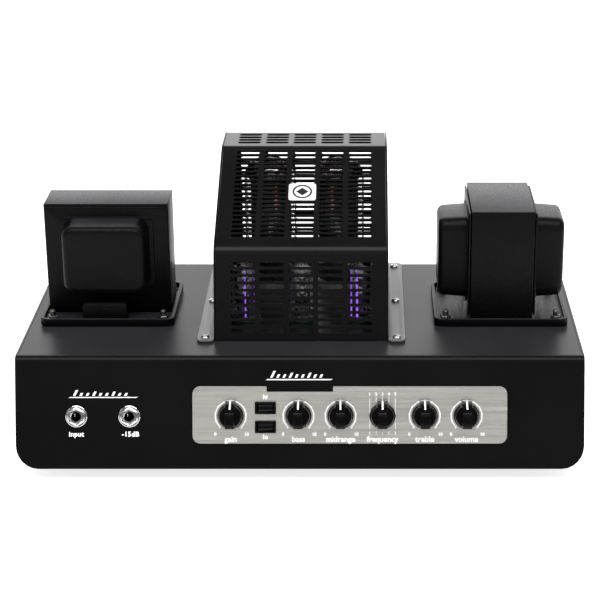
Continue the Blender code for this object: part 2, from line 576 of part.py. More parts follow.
def valves(glass, base, ceramic, board_finish):
    for name, x in zip(("left", "right"), POWER_VALVE_X):
        seat = DECK + 7.0
        socket = [(4.4, seat), (16.5, seat), (17.3, seat - 1.0), (17.3, DECK + GAP), (14.9, DECK + GAP),
                  (14.9, DECK - 9.0), (4.4, DECK - 9.0)]
        make(f"power_valve_socket_{name}", turn(socket, (x, POWER_VALVE_Y, 0)), ceramic)
        start = seat + GAP
        valve = [(0, DECK - 5.0), (3.9, DECK - 5.0), (3.9, start), (16.0, start), (17.0, start + 1.2),
                 (17.0, start + 13.0), (18.5, start + 15.0), (19.3, start + 20.0), (19.3, start + 81.0),
                 (17.0, start + 89.0), (11.0, start + 94.5), (4.0, start + 96.5), (0, start + 97.0)]
        make(f"power_valve_{name}", turn(valve, (x, POWER_VALVE_Y, 0)), glass)
    bm = bmesh.new()
    add_box(bm, (-58, PREAMP_VALVE_Y - 16, DECK - 14), (58, PREAMP_VALVE_Y + 16, DECK - 12.4))
    board = make("preamp_valve_board", bm, board_finish)
    sockets = bmesh.new()
    for x in PREAMP_VALVE_X:
        add_rod(sockets, (x, PREAMP_VALVE_Y, 0), 10.0, DECK - 13, DECK + 3, segments=20)
    boolean(board, "UNION", sockets)
    wells = bmesh.new()
    for x in PREAMP_VALVE_X:
        add_rod(wells, (x, PREAMP_VALVE_Y, 0), 3.3, DECK - 4, DECK + 6, segments=12)
    boolean(board, "DIFFERENCE", wells)
    for name, x in zip(("left", "middle", "right"), PREAMP_VALVE_X):
        start = DECK + 3 + GAP
        valve = [(0, DECK - 2), (2.9, DECK - 2), (2.9, start), (9.6, start), (10.4, start + 1.2),
                 (10.4, start + 42.0), (8.6, start + 47.0), (4.0, start + 50.0), (1.6, start + 51.0),
                 (1.2, start + 54.0), (0, start + 55.0)]
        make(f"preamp_valve_{name}", turn(valve, (x, PREAMP_VALVE_Y, 0), segments=14), glass)


# ---- transformers ----

def transformer(name, centre, stack_axis, steel, shell):
    """A laminated core standing on a frame, with a pressed bell on each end of its stack."""
    cx, cy = centre
    bm = extrude_outline(rounded_rectangle(centre, TRANSFORMER_BASE, 6), "XY", DECK + GAP, DECK + TRANSFORMER_LIP)
    base = make(f"{name}_frame", bm, shell)
    tray = (TRANSFORMER_BASE[0] - 5, TRANSFORMER_BASE[1] - 5)
    boolean(base, "DIFFERENCE", extrude_outline(rounded_rectangle(centre, tray, 3), "XY", DECK + 2.5, DECK + 10))

    along = stack_axis == "Y"
    long, foot = CORE_LONG - (0 if along else 16.5), DECK + 2.5 + GAP
    stack = CORE_STACK if along else 46.8
    half = (long / 2, stack / 2) if along else (stack / 2, long / 2)
    core = bmesh.new()
    add_box(core, (cx - half[0], cy - half[1], foot), (cx + half[0], cy + half[1], CORE_TOP))
    bevel(make(f"{name}_core", core, steel), 0.9, 1)

    bell_half, bell_low, bell_high, flange = 33.3, DECK + 26.0, DECK + 78.5, 1.3
    deep = 23.5
    for end, side in ((("front", -1), ("rear", 1)) if along else (("left", -1), ("right", 1))):
        start = (half[1] if along else half[0]) + GAP
        spread = (long / 2 - 1.0)
        plate, box = bmesh.new(), bmesh.new()
        for target, wide, near, far, low, high in (
                (plate, spread, start, start + flange, foot + 4, CORE_TOP - 1.5),
                (box, bell_half, start + 0.4, start + deep, bell_low, bell_high)):
            out = sorted((side * near, side * far))
            if along:
                add_box(target, (cx - wide, cy + out[0], low), (cx + wide, cy + out[1], high))
            else:
                add_box(target, (cx + out[0], cy - wide, low), (cx + out[1], cy + wide, high))
        bell = make(f"{name}_bell_{end}", plate, shell)
        bmesh.ops.bevel(box, geom=list(box.edges), offset=5.5, segments=2, profile=0.5, affect="EDGES")
        boolean(bell, "UNION", box)


def main():
    clear_scene()
    black_sheet = paint("black_chassis_paint", (0.012, 0.012, 0.013), 0.42)
    cage_black = paint("cage_paint", (0.016, 0.016, 0.017), 0.4)
    crinkle = paint("crinkle_black", (0.02, 0.02, 0.021), 0.55)
    steel = paint("core_steel", (0.03, 0.03, 0.032), 0.5, 0.3)
    plate = paint("brushed_plate", (0.45, 0.44, 0.40), 0.35, 1.0)
    rubber = paint("foot_rubber", (0.02, 0.02, 0.02), 0.8)
    knob_black = paint("knob_black", (0.01, 0.01, 0.01), 0.2)
    switch_black = paint("switch_black", (0.015, 0.015, 0.015), 0.35)
    chrome = paint("chrome", (0.75, 0.75, 0.76), 0.12, 1.0)
    screw = paint("screw_steel", (0.5, 0.5, 0.5), 0.3, 1.0)
    glass = paint("valve_glass", (0.2, 0.2, 0.24), 0.05)
    ceramic = paint("socket_ceramic", (0.6, 0.58, 0.54), 0.5)
    board = paint("circuit_board", (0.03, 0.12, 0.05), 0.5)

    chassis(black_sheet)
    bottom_cover(black_sheet)
    feet(rubber)
    control_plate(plate)
    knobs(knob_black)
    control_board(board)
    plate_face = FRONT - GAP - PLATE_THICK
    for name, z in zip(("high_boost_rocker", "low_boost_rocker"), ROCKER_Z):
        rocker_switch(name, (ROCKER_X, plate_face, z), (15.0, 8.8), -1, "X", switch_black, knob_black)
    for name, x in zip(("input_jack", "pad_jack"), JACK_X):
        jack(name, x, JACK_Z, FRONT, -1, switch_black)
        jack_nut(name, x, JACK_Z, FRONT, -1, chrome)
    mains_inlet(switch_black)
    for name, x in (("mains_rocker", MAINS_X), ("standby_rocker", STANDBY_X)):
        rocker_switch(name, (x, BACK, REAR_Z), (15.0, 21.0), 1, "Z", switch_black, knob_black)
    for name, x in zip(("speaker_jack_one", "speaker_jack_two"), SPEAKER_X):
        jack(name, x, REAR_Z, BACK, 1, switch_black)
    impedance_switch(switch_black, knob_black)
    line_out(switch_black)
    ground_lift(knob_black)
    main_board(board)
    cage_wrap(cage_black)
    cage_sides(cage_black, screw)
    valves(glass, switch_black, ceramic, board)
    transformer("output_transformer", OUTPUT_CENTRE, "Y", steel, crinkle)
    transformer("power_transformer", POWER_CENTRE, "X", steel, crinkle)


main()
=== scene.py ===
# %% [markdown]
# # A valve bass amplifier head
# The working model of the amplifier comes in as a fixed frame: every part already has its real size and
# place. This lesson gives each part its looks. Some parts keep their shape and only get a finish. Others,
# such as the slotted cage, the knobs and the valves, are modelled again in finer detail in the same space.

# %% Load the frame
import bpy
from math import atan2, cos, hypot, pi, radians, sin, tan
from mathutils import Matrix, Vector


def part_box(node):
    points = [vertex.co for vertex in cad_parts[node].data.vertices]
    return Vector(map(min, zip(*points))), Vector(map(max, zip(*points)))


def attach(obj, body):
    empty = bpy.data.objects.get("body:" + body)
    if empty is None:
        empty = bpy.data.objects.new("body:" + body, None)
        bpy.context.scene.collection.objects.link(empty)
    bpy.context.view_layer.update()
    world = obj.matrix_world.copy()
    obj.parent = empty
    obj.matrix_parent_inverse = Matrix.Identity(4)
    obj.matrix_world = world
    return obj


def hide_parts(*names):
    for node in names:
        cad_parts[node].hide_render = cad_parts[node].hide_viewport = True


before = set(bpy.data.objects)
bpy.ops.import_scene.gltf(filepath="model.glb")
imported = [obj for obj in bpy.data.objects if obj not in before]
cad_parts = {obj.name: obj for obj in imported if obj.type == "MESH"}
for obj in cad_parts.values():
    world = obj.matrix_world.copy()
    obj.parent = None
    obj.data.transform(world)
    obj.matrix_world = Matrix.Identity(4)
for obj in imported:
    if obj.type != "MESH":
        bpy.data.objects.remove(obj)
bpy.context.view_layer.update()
MM = 0.001

# %% [markdown]
# ## Places
# The main places are read from the frame's own boxes. The front of the chassis faces -Y and leans back, and
# Z is up. A place is a matrix: its Z points out of the surface that the piece sits on, and its Y points up
# along it.

# %% Read the main places
_, chassis_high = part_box("chassis_shell")
BACK, DECK, HALF = chassis_high.y, chassis_high.z, chassis_high.x
DEPTH, LEAN, REAR_DROP = 202.0, radians(17.0), 40.0
FRONT = BACK - DEPTH * MM


def on_panel(x, down, out=0.0):
    """A place on the leaning front panel, in mm from the middle and down from the deck's front edge."""
    hinge = Matrix.Translation((x * MM, FRONT, DECK)) @ Matrix.Rotation(pi / 2 - LEAN, 4, "X")
    return hinge @ Matrix.Translation((0, -down * MM, out * MM))


def on_deck(x, back, up=0.0, turn=0.0):
    """A place on the deck, in mm from the middle and behind its front edge, turned about Z."""
    return Matrix.Translation((x * MM, FRONT + back * MM, DECK + up * MM)) @ Matrix.Rotation(turn, 4, "Z")


def on_back(x, down=REAR_DROP, out=0.0):
    """A place on the back, in mm from the middle and down from the deck."""
    facing = Matrix.Rotation(pi, 4, "Z") @ Matrix.Rotation(pi / 2, 4, "X")
    return Matrix.Translation((x * MM, BACK + out * MM, DECK - down * MM)) @ facing


def facing_side(x, back, up, side):
    """A place on a face that looks along X. Side is -1 for left and 1 for right."""
    facing = Matrix.Rotation(side * pi / 2, 4, "Z") @ Matrix.Rotation(pi / 2, 4, "X")
    return Matrix.Translation((x * MM, FRONT + back * MM, DECK + up * MM)) @ facing


def middle(node):
    """The centre of a node's box."""
    low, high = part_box(node)
    return (Vector(low) + Vector(high)) / 2


print("deck height", round(DECK, 4), "width", round(2 * HALF, 4))

# %% [markdown]
# ## Camera
# A long lens a little above the amplifier. The camera stands right of the middle, and a small sideways
# shift of the lens brings the amplifier back into the frame while its front edges stay level.

# %% Add the camera
camera_data = bpy.data.cameras.new("camera")
camera_data.lens = 111.66
camera_data.sensor_width = 36.0
camera_data.shift_x = -0.1083
camera = bpy.data.objects.new("camera", camera_data)
camera.location = (0.0464, FRONT - 1.226, DECK + 0.504)
camera.rotation_euler = (radians(90 - 20.6), 0, 0)
bpy.context.scene.collection.objects.link(camera)
bpy.context.scene.camera = camera
print("camera height above the deck", 0.504)

# %% [markdown]
# ## Studio
# Black paint shows little but its reflections. The surroundings are therefore bright behind the amplifier,
# which lights up the deck and the tops at a low angle, and dim elsewhere, which keeps the upright faces
# black. The brightness is a ramp on the direction's Y.

# %% Light the surroundings
DIM, BRIGHT = 0.16, 2.8
scene = bpy.context.scene
scene.view_settings.view_transform = "Standard"
world = bpy.data.worlds.new("studio")
scene.world = world
world.use_nodes = True
sky = world.node_tree.nodes["Background"]
sky.inputs["Color"].default_value = (1.0, 1.0, 1.0, 1.0)
toward = world.node_tree.nodes.new("ShaderNodeTexCoord")
parts = world.node_tree.nodes.new("ShaderNodeSeparateXYZ")
fade = world.node_tree.nodes.new("ShaderNodeMapRange")
fade.inputs["From Min"].default_value = 0.45
fade.inputs["From Max"].default_value = 0.85
fade.inputs["To Min"].default_value = DIM
fade.inputs["To Max"].default_value = BRIGHT
world.node_tree.links.new(toward.outputs["Generated"], parts.inputs["Vector"])
world.node_tree.links.new(parts.outputs["Y"], fade.inputs["Value"])
world.node_tree.links.new(fade.outputs["Result"], sky.inputs["Strength"])
print("surroundings:", DIM, "in front,", BRIGHT, "behind")

# %% [markdown]
# Soft boxes are rectangular lamps, as in a product studio. The large one overhead lights the printing and
# the deck, the low one in front lights the brushed plate, and two weak ones draw the sides.

# %% Add the floor and the lamps
def soft_box(name, place, target, size, power):
    """A rectangular lamp that looks at its target."""
    lamp = bpy.data.lights.new(name, "AREA")
    lamp.shape = "RECTANGLE"
    lamp.size, lamp.size_y = size
    lamp.energy = power
    made = bpy.data.objects.new(name, lamp)
    made.location = place
    made.rotation_euler = (Vector(target) - Vector(place)).to_track_quat("-Z", "Y").to_euler()
    scene.collection.objects.link(made)
    return made


soft_box("overhead_box", (0, -0.8, 2.0), (0, 0, 0.1), (2.6, 1.2), 62)
soft_box("front_box", (0.1, -2.2, 1.0), (0, 0, 0.1), (2.6, 0.7), 6.5)
soft_box("left_box", (-1.9, -0.7, 0.9), (0, 0, 0.1), (0.5, 1.2), 3)
soft_box("right_box", (1.9, -0.7, 0.9), (0, 0, 0.1), (0.5, 1.2), 3)

bpy.ops.object.select_all(action="DESELECT")
bpy.ops.mesh.primitive_plane_add(size=14, location=(0, 2.0, 0))
floor = bpy.context.object
floor.name = "floor"

# %% [markdown]
# ## Node tools
# A finish is a small node tree. These helpers add a node, wire it and set its values in one line, and every
# pattern reads Object coordinates, so it stays put when a part moves.

# %% Define the node helpers
def new_finish(name, colour, roughness, metallic=0.0, specular=0.5):
    """A material with a Principled shader. Returns the material and its node tree."""
    made = bpy.data.materials.new(name)
    made.use_nodes = True
    shader = made.node_tree.nodes["Principled BSDF"]
    shader.inputs["Base Color"].default_value = (*colour, 1.0)
    shader.inputs["Roughness"].default_value = roughness
    shader.inputs["Metallic"].default_value = metallic
    shader.inputs["Specular IOR Level"].default_value = specular
    return made


def node(finish, kind, links=(), **values):
    """Adds a node. Values set inputs by name, and links are (input name, node, output name)."""
    tree = finish.node_tree
    made = tree.nodes.new(kind)
    for key, value in values.items():
        key = key.replace("_", " ")
        if key in made.inputs:
            made.inputs[key].default_value = value
        else:
            setattr(made, key.replace(" ", "_"), value)
    for name, source, output in links:
        tree.links.new(source.outputs[output], made.inputs[name])
    return made


def object_space(finish, stretch=(1, 1, 1), turn=(0, 0, 0)):
    """Object coordinates through a Mapping node that turns and stretches the pattern."""
    place = node(finish, "ShaderNodeTexCoord")
    return node(finish, "ShaderNodeMapping", [("Vector", place, "Object")], Scale=stretch, Rotation=turn)


def wire(finish, source, output, name):
    shader = finish.node_tree.nodes["Principled BSDF"]
    finish.node_tree.links.new(source.outputs[output], shader.inputs[name])


print("wiring helpers ready")

# %% [markdown]
# Paint, metal and plastic all come from a few patterns: a noise, the range it is spread over, two colours
# that it mixes, the bumps that it makes, and a painted sheen that lightens faces that look up, standing in
# for the light that they catch.

# %% Define the pattern helpers
def grain(finish, space, scale, detail=4.0, roughness=0.6):
    return node(finish, "ShaderNodeTexNoise", [("Vector", space, "Vector")], Scale=scale, Detail=detail,
                Roughness=roughness)


def spread(finish, source, output, low, high):
    """Maps a pattern's middle range onto low to high."""
    return node(finish, "ShaderNodeMapRange", [("Value", source, output)], To_Min=low, To_Max=high,
                From_Min=0.3, From_Max=0.7)


def blend_colours(finish, source, output, first, second):
    """A colour ramp between two colours, driven by a pattern."""
    ramp = node(finish, "ShaderNodeValToRGB", [("Fac", source, output)])
    ramp.color_ramp.elements[0].position = 0.3
    ramp.color_ramp.elements[0].color = (*first, 1.0)
    ramp.color_ramp.elements[1].position = 0.7
    ramp.color_ramp.elements[1].color = (*second, 1.0)
    return ramp


def bump(finish, source, output, strength, distance):
    made = node(finish, "ShaderNodeBump", [("Height", source, output)], Strength=strength, Distance=distance)
    wire(finish, made, "Normal", "Normal")
    return made


def painted_top_sheen(finish, colour, output, factor, start=0.94):
    """Brightens a colour where the surface faces up: painted sheen for the light that the tops catch."""
    place = node(finish, "ShaderNodeTexCoord")
    split = node(finish, "ShaderNodeSeparateXYZ", [("Vector", place, "Normal")])
    upward = node(finish, "ShaderNodeMapRange", [("Value", split, "Z")], From_Min=start, From_Max=0.995,
                  To_Min=1.0, To_Max=factor)
    return node(finish, "ShaderNodeVectorMath", [("Vector", colour, output), ("Scale", upward, "Result")],
                operation="SCALE")


print("pattern helpers ready")

# %% [markdown]
# ## Finishes
# The chassis and the cage are sprayed with black powder coat, which dries with a fine orange peel. The
# transformers carry a lacquer that wrinkles as it bakes, for which a noise and a cell pattern are added up.

# %% Paint and lacquer
def powder_coat(name, colour, roughness, specular, peel=0.05, top_sheen=1.0):
    """Sprayed paint: tiny rounded bumps, a sheen that changes a little, and painted sheen on what faces up.
    """
    made = new_finish(name, colour, roughness, specular=specular)
    space = object_space(made)
    fine = grain(made, space, 1500.0, 2.0)
    cloud = grain(made, space, 14.0, 3.0)
    wire(made, spread(made, cloud, "Fac", roughness - 0.025, roughness + 0.025), "Result", "Roughness")
    tint = blend_colours(made, cloud, "Fac", [c * 0.85 for c in colour], [c * 1.15 for c in colour])
    # Painted sheen: the colour is lifted on faces that look up, for the light that they catch.
    wire(made, painted_top_sheen(made, tint, "Color", top_sheen), "Vector", "Base Color")
    bump(made, fine, "Fac", peel, 0.0004)
    return made


def crinkle_lacquer(name, colour, specular=0.35):
    """Lacquer that wrinkles as it bakes: a fine net of raised lines."""
    made = new_finish(name, colour, 0.5, specular=specular)
    space = object_space(made)
    warp = grain(made, space, 500.0, 3.0)
    net = node(made, "ShaderNodeTexVoronoi", [("Vector", space, "Vector")], feature="SMOOTH_F1", Scale=900.0)
    both = node(made, "ShaderNodeMath", operation="ADD")
    made.node_tree.links.new(warp.outputs["Fac"], both.inputs[0])
    made.node_tree.links.new(net.outputs["Distance"], both.inputs[1])
    bump(made, both, "Value", 0.16, 0.0006)
    cloud = grain(made, space, 25.0, 3.0)
    tint = blend_colours(made, cloud, "Fac", [c * 0.75 for c in colour], [c * 1.3 for c in colour])
    # Painted sheen: faces that look up are made nine times lighter, for the light that the tops catch.
    wire(made, painted_top_sheen(made, tint, "Color", 9.0), "Vector", "Base Color")
    wire(made, spread(made, net, "Distance", 0.32, 0.46), "Result", "Roughness")
    return made


# Painted sheen: the chassis paint is nine times lighter where it faces up, the cage paint three times, for
# the light that the tops catch.
chassis_paint = powder_coat("chassis_paint", (0.0024, 0.0024, 0.0026), 0.33, 0.08, top_sheen=9.0)
cage_paint = powder_coat("cage_paint", (0.0024, 0.0022, 0.0026), 0.30, 0.12, top_sheen=3.0)
# Light grey: on the cage's flanges it is a painted reflection of the bright backdrop on their black tops; the
# coil tabs are this grey themselves.
flange_reflection_and_tab_grey = powder_coat("flange_reflection_and_tab_grey", (0.13, 0.126, 0.126), 0.45, 0.4)
crinkle = crinkle_lacquer("crinkle_lacquer", (0.0022, 0.0021, 0.0025), 0.07)
print("paints:", chassis_paint.name, cage_paint.name, crinkle.name)

# %% [markdown]
# The control plate is rubbed along its length, so a noise is stretched into long thin lines. Nuts, screws
# and pins are plated, and only their gloss changes a little.

# %% Metals
def brushed(name, colour, roughness, along=(1, 1, 1), strength=0.12, turn=(0, 0, 0)):
    """Metal rubbed in one direction: a noise pattern stretched into long thin lines."""
    made = new_finish(name, colour, roughness, metallic=1.0)
    space = object_space(made, along, turn)
    lines = grain(made, space, 1.0, 5.0, 0.7)
    wire(made, spread(made, lines, "Fac", roughness - 0.08, roughness + 0.1), "Result", "Roughness")
    tint = blend_colours(made, lines, "Fac", [c * 0.84 for c in colour], [min(1, c * 1.1) for c in colour])
    wire(made, tint, "Color", "Base Color")
    bump(made, lines, "Fac", strength, 0.0003)
    return made


def plated(name, colour, roughness):
    """Bright plating with the faint cloudiness that handling leaves."""
    made = new_finish(name, colour, roughness, metallic=1.0)
    cloud = grain(made, object_space(made), 260.0, 3.0)
    wire(made, spread(made, cloud, "Fac", roughness * 0.7, roughness * 1.7), "Result", "Roughness")
    return made


plate_metal = brushed("brushed_plate", (0.50, 0.485, 0.45), 0.36, (9, 1500, 1500), 0.16)
chrome = plated("chrome", (0.78, 0.78, 0.79), 0.10)
zinc = plated("screw_zinc", (0.55, 0.55, 0.54), 0.25)
brass = plated("pin_brass", (0.72, 0.55, 0.28), 0.25)
valve_metal = plated("valve_metal", (0.11, 0.105, 0.10), 0.38)
getter_metal = plated("getter_flash", (0.16, 0.14, 0.13), 0.22)
print("metals:", plate_metal.name, chrome.name)

# %% [markdown]
# Moulded parts have an even colour. What tells them from paint is the faint flow pattern in their gloss.

# %% Plastics, rubber, boards and ceramic
def moulded(name, colour, roughness, specular=0.5, texture=0.03):
    """Moulded plastic: an even colour with a faint flow pattern in its gloss."""
    made = new_finish(name, colour, roughness, specular=specular)
    space = object_space(made)
    flow = grain(made, space, 120.0, 3.0)
    fine = grain(made, space, 2400.0, 2.0)
    wire(made, spread(made, flow, "Fac", roughness * 0.8, roughness * 1.25), "Result", "Roughness")
    tint = blend_colours(made, flow, "Fac", [c * 0.9 for c in colour], [c * 1.1 for c in colour])
    wire(made, tint, "Color", "Base Color")
    bump(made, fine, "Fac", texture, 0.0002)
    return made


knob_plastic = moulded("knob_plastic", (0.002, 0.002, 0.002), 0.15, 0.14)
switch_plastic = moulded("switch_plastic", (0.002, 0.002, 0.002), 0.25, 0.10)
rubber = moulded("foot_rubber", (0.016, 0.016, 0.016), 0.75, 0.3, 0.2)
phenolic = moulded("valve_base", (0.014, 0.012, 0.011), 0.3)
ceramic = moulded("socket_ceramic", (0.15, 0.145, 0.135), 0.35)
mica = moulded("mica", (0.30, 0.27, 0.22), 0.3)
board_green = moulded("circuit_board", (0.02, 0.08, 0.035), 0.35)
ink = moulded("printed_white", (0.90, 0.90, 0.90), 0.45, 0.3, 0.01)
enamel = moulded("plaque_black", (0.006, 0.006, 0.006), 0.3)
print("moulded finishes ready")

# %% [markdown]
# The valves' glass lets light through its thin walls. A glow is a light that fades with height, brightest
# near its foot. The amber one is the heaters' own glow; the violet one is painted light, glowing strips that
# stand in for violet light seen in the glass.

# %% Glass and glow
glass = new_finish("valve_glass", (0.96, 0.97, 1.0), 0.02)
glass.node_tree.nodes["Principled BSDF"].inputs["Transmission Weight"].default_value = 1.0
glass.node_tree.nodes["Principled BSDF"].inputs["IOR"].default_value = 1.45
haze = grain(glass, object_space(glass), 60.0, 2.0)
wire(glass, spread(glass, haze, "Fac", 0.01, 0.05), "Result", "Roughness")


def glowing(name, colour, low, high, weak, strong):
    """A light that fades with height. Low and high are in mm above the deck."""
    made = new_finish(name, colour, 0.5)
    split = node(made, "ShaderNodeSeparateXYZ", [("Vector", object_space(made), "Vector")])
    rise = node(made, "ShaderNodeMapRange", [("Value", split, "Z")], From_Min=DECK + low * MM,
                From_Max=DECK + high * MM, To_Min=strong, To_Max=weak)
    wire(made, rise, "Result", "Emission Strength")
    made.node_tree.nodes["Principled BSDF"].inputs["Emission Color"].default_value = (*colour, 1.0)
    return made


# Painted violet light: an emitting finish for strips that stand in for violet light seen in the small valves'
# glass.
violet = glowing("heater_glow", (0.36, 0.12, 0.85), 0.0, 45.0, 0.35, 1.5)
amber = glowing("heater_amber", (0.65, 0.16, 0.05), 40.0, 90.0, 0.12, 0.5)
print("glass:", glass.name, "glow:", violet.name)

# %% [markdown]
# ## Modelling tools
# The same few moves make every part: start from a primitive, pull and scale its rings or faces, soften the
# edges, join or cut, and settle the result on its body. Sizes are in millimetres. An operator acts on all
# that is selected, so these tools start by clearing the selection.

# %% Define how to select and to apply
def begin():
    """Object mode with nothing selected."""
    if bpy.context.mode != "OBJECT":
        bpy.ops.object.mode_set(mode="OBJECT")
    bpy.ops.object.select_all(action="DESELECT")


def edit():
    """Edit mode with everything selected."""
    bpy.ops.object.mode_set(mode="EDIT")
    bpy.ops.mesh.select_mode(type="VERT")
    bpy.ops.mesh.select_all(action="SELECT")


def done():
    """Back to object mode, with the normals pointing outwards."""
    bpy.ops.mesh.select_all(action="SELECT")
    bpy.ops.mesh.normals_make_consistent(inside=False)
    bpy.ops.object.mode_set(mode="OBJECT")
    return bpy.context.object


def pick(piece, wanted, kind="FACE"):
    """Edit mode with only the faces or vertices selected whose centre, in mm, passes the test."""
    begin()
    piece.select_set(True)
    bpy.context.view_layer.objects.active = piece
    bpy.ops.object.mode_set(mode="EDIT")
    bpy.ops.mesh.select_mode(type=kind)
    bpy.ops.mesh.select_all(action="DESELECT")
    bpy.ops.object.mode_set(mode="OBJECT")
    items = piece.data.polygons if kind == "FACE" else piece.data.vertices
    for item in items:
        item.select = bool(wanted((item.center if kind == "FACE" else item.co) / MM))
    bpy.ops.object.mode_set(mode="EDIT")


def apply_modifier(piece, kind, **settings):
    """Adds a modifier and applies it at once."""
    begin()
    piece.select_set(True)
    bpy.context.view_layer.objects.active = piece
    step = piece.modifiers.new(kind.title(), kind)
    for key, value in settings.items():
        setattr(step, key, value)
    bpy.ops.object.modifier_apply(modifier=step.name)
    return piece


def soften(piece, width, segments=2, angle=35.0):
    """Rounds the sharp edges."""
    return apply_modifier(piece, "BEVEL", width=width * MM, segments=segments, limit_method="ANGLE",
                          angle_limit=radians(angle))


print("selection tools ready")

# %% [markdown]
# Pieces are joined or cut with exact booleans, or simply kept side by side in one mesh. A copy always gets
# a mesh of its own, because its place is written into that mesh.

# %% Define how to join, copy and move
def combine(piece, other, operation="UNION"):
    """Joins, cuts or trims with a second shape, which is used up."""
    apply_modifier(piece, "BOOLEAN", object=other, operation=operation, solver="EXACT")
    bpy.data.objects.remove(other, do_unlink=True)
    return piece


def gather(pieces):
    """Puts several pieces into one mesh."""
    begin()
    for piece in pieces:
        piece.select_set(True)
    bpy.context.view_layer.objects.active = pieces[0]
    bpy.ops.object.join()
    return pieces[0]


def twin(piece, place=Matrix.Identity(4)):
    """A copy with its own mesh, moved by the place."""
    made = piece.copy()
    made.data = piece.data.copy()
    made.data.transform(place)
    bpy.context.scene.collection.objects.link(made)
    return made


def shifted(piece, x=0.0, y=0.0, z=0.0, turn=0.0):
    """Turns a piece about Z and then moves it, in its mesh."""
    piece.data.transform(Matrix.Translation((x * MM, y * MM, z * MM)) @ Matrix.Rotation(turn, 4, "Z"))
    return piece


def discard(*pieces):
    """Removes patterns that have been copied as often as needed."""
    for piece in pieces:
        bpy.data.objects.remove(piece, do_unlink=True)


print("joining tools ready")

# %% [markdown]
# Four basic shapes cover the sheet metal, the mouldings and the turned parts. Each starts from a primitive
# and is pulled into shape in edit mode.

# %% Define the basic shapes
def block(wide, tall, low, high, edge=0.0, segments=2):
    """A box on the middle of XY between two heights."""
    begin()
    bpy.ops.mesh.primitive_cube_add(size=1.0)
    edit()
    bpy.ops.transform.resize(value=(wide * MM, tall * MM, (high - low) * MM))
    bpy.ops.transform.translate(value=(0, 0, (high + low) / 2 * MM))
    piece = done()
    return soften(piece, edge, segments) if edge else piece


def slab(wide, tall, corner, low, high, edge=0.0, steps=6, segments=2):
    """A plate with rounded corners between two heights."""
    begin()
    bpy.ops.mesh.primitive_plane_add(size=1.0)
    edit()
    bpy.ops.transform.resize(value=(wide * MM, tall * MM, 1.0))
    bpy.ops.transform.translate(value=(0, 0, low * MM))
    bpy.ops.mesh.bevel(offset=corner * MM, segments=steps, affect="VERTICES")
    bpy.ops.mesh.select_all(action="SELECT")
    bpy.ops.mesh.extrude_region_move(TRANSFORM_OT_translate={"value": (0, 0, (high - low) * MM)})
    piece = done()
    return soften(piece, edge, segments) if edge else piece


def prism(outline, low, high, edge=0.0, segments=2):
    """A plate of any outline: a circle with as many corners, each of which is then put in its place."""
    begin()
    bpy.ops.mesh.primitive_circle_add(vertices=len(outline), radius=MM, fill_type="NGON")
    for vertex, (x, y) in zip(bpy.context.object.data.vertices, outline):
        vertex.co = (x * MM, y * MM, low * MM)
    edit()
    bpy.ops.mesh.extrude_region_move(TRANSFORM_OT_translate={"value": (0, 0, (high - low) * MM)})
    piece = done()
    return soften(piece, edge, segments) if edge else piece


def lathe(profile, segments=48, ring=False):
    """A turned shape: a circle pulled along Z and scaled at each (radius, height). A ring's profile closes on
    itself, which leaves a hole in the middle."""
    radius, height = profile[0]
    begin()
    bpy.ops.mesh.primitive_circle_add(vertices=segments, radius=radius * MM,
                                      fill_type="NOTHING" if ring else "NGON")
    edit()
    bpy.ops.transform.translate(value=(0, 0, height * MM))
    for (r0, h0), (r1, h1) in zip(profile, profile[1:] + (profile[:1] if ring else [])):
        bpy.ops.mesh.extrude_region_move(TRANSFORM_OT_translate={"value": (0, 0, (h1 - h0) * MM)})
        bpy.ops.transform.resize(value=(r1 / r0, r1 / r0, 1.0), center_override=(0, 0, h1 * MM))
    if ring:
        bpy.ops.mesh.select_all(action="SELECT")
        bpy.ops.mesh.remove_doubles(threshold=1e-6)
    return done()


print("basic shapes ready")

# %% [markdown]
# A scale is part of a flat ring, so the rest of the ring is deleted and the cut ends are closed. Words are
# text that becomes a mesh before it is placed.

# %% Define the printed shapes
def strip(radius, wide, first, last, low, high, segments=96):
    """Part of a flat ring. The angles are in degrees, counted clockwise from straight up."""
    ring = lathe([(radius, low), (radius + wide, low), (radius + wide, high), (radius, high)], segments, True)
    cut = lambda c: not first <= (atan2(c.x, c.y) * 180 / pi) % 360 <= last
    pick(ring, cut)
    bpy.ops.mesh.delete(type="FACE")
    bpy.ops.mesh.select_all(action="SELECT")
    bpy.ops.mesh.fill_holes(sides=0)
    return done()


def lettering(text, size, low, high, spread_out=1.0):
    """Flat lettering, centred, as a mesh."""
    begin()
    bpy.ops.object.text_add()
    words = bpy.context.object
    words.data.body = text
    words.data.size = size * MM
    words.data.align_x, words.data.align_y = "CENTER", "CENTER"
    words.data.extrude = (high - low) / 2 * MM
    words.data.offset = 0.035 * size * MM
    words.data.space_character = spread_out
    words.data.resolution_u = 3
    bpy.ops.object.convert(target="MESH")
    words = bpy.context.object
    words.data.transform(Matrix.Translation((0, 0, (high + low) / 2 * MM)))
    return words


print("printed shapes ready")

# %% [markdown]
# A finished piece has its place in its mesh, and its object stays at the origin. It then rides on its body,
# has its material slot, and hides the nodes of the working model that it stands for.

# %% Define how a piece is settled
def settle(piece, name, finish, place=Matrix.Identity(4), body="root", instead=(), smooth=35.0):
    """Names a piece, puts it in its place inside its mesh, paints it and lets it ride on its body."""
    begin()
    piece.select_set(True)
    bpy.context.view_layer.objects.active = piece
    piece.name = piece.data.name = name
    piece.data.transform(place @ piece.matrix_world)
    piece.matrix_world = Matrix.Identity(4)
    piece.data.materials.clear()
    piece.data.materials.append(finish)
    bpy.ops.object.shade_smooth_by_angle(angle=radians(smooth))
    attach(piece, body)
    if instead:
        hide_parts(*instead)
    return piece


print("modelling tools ready")

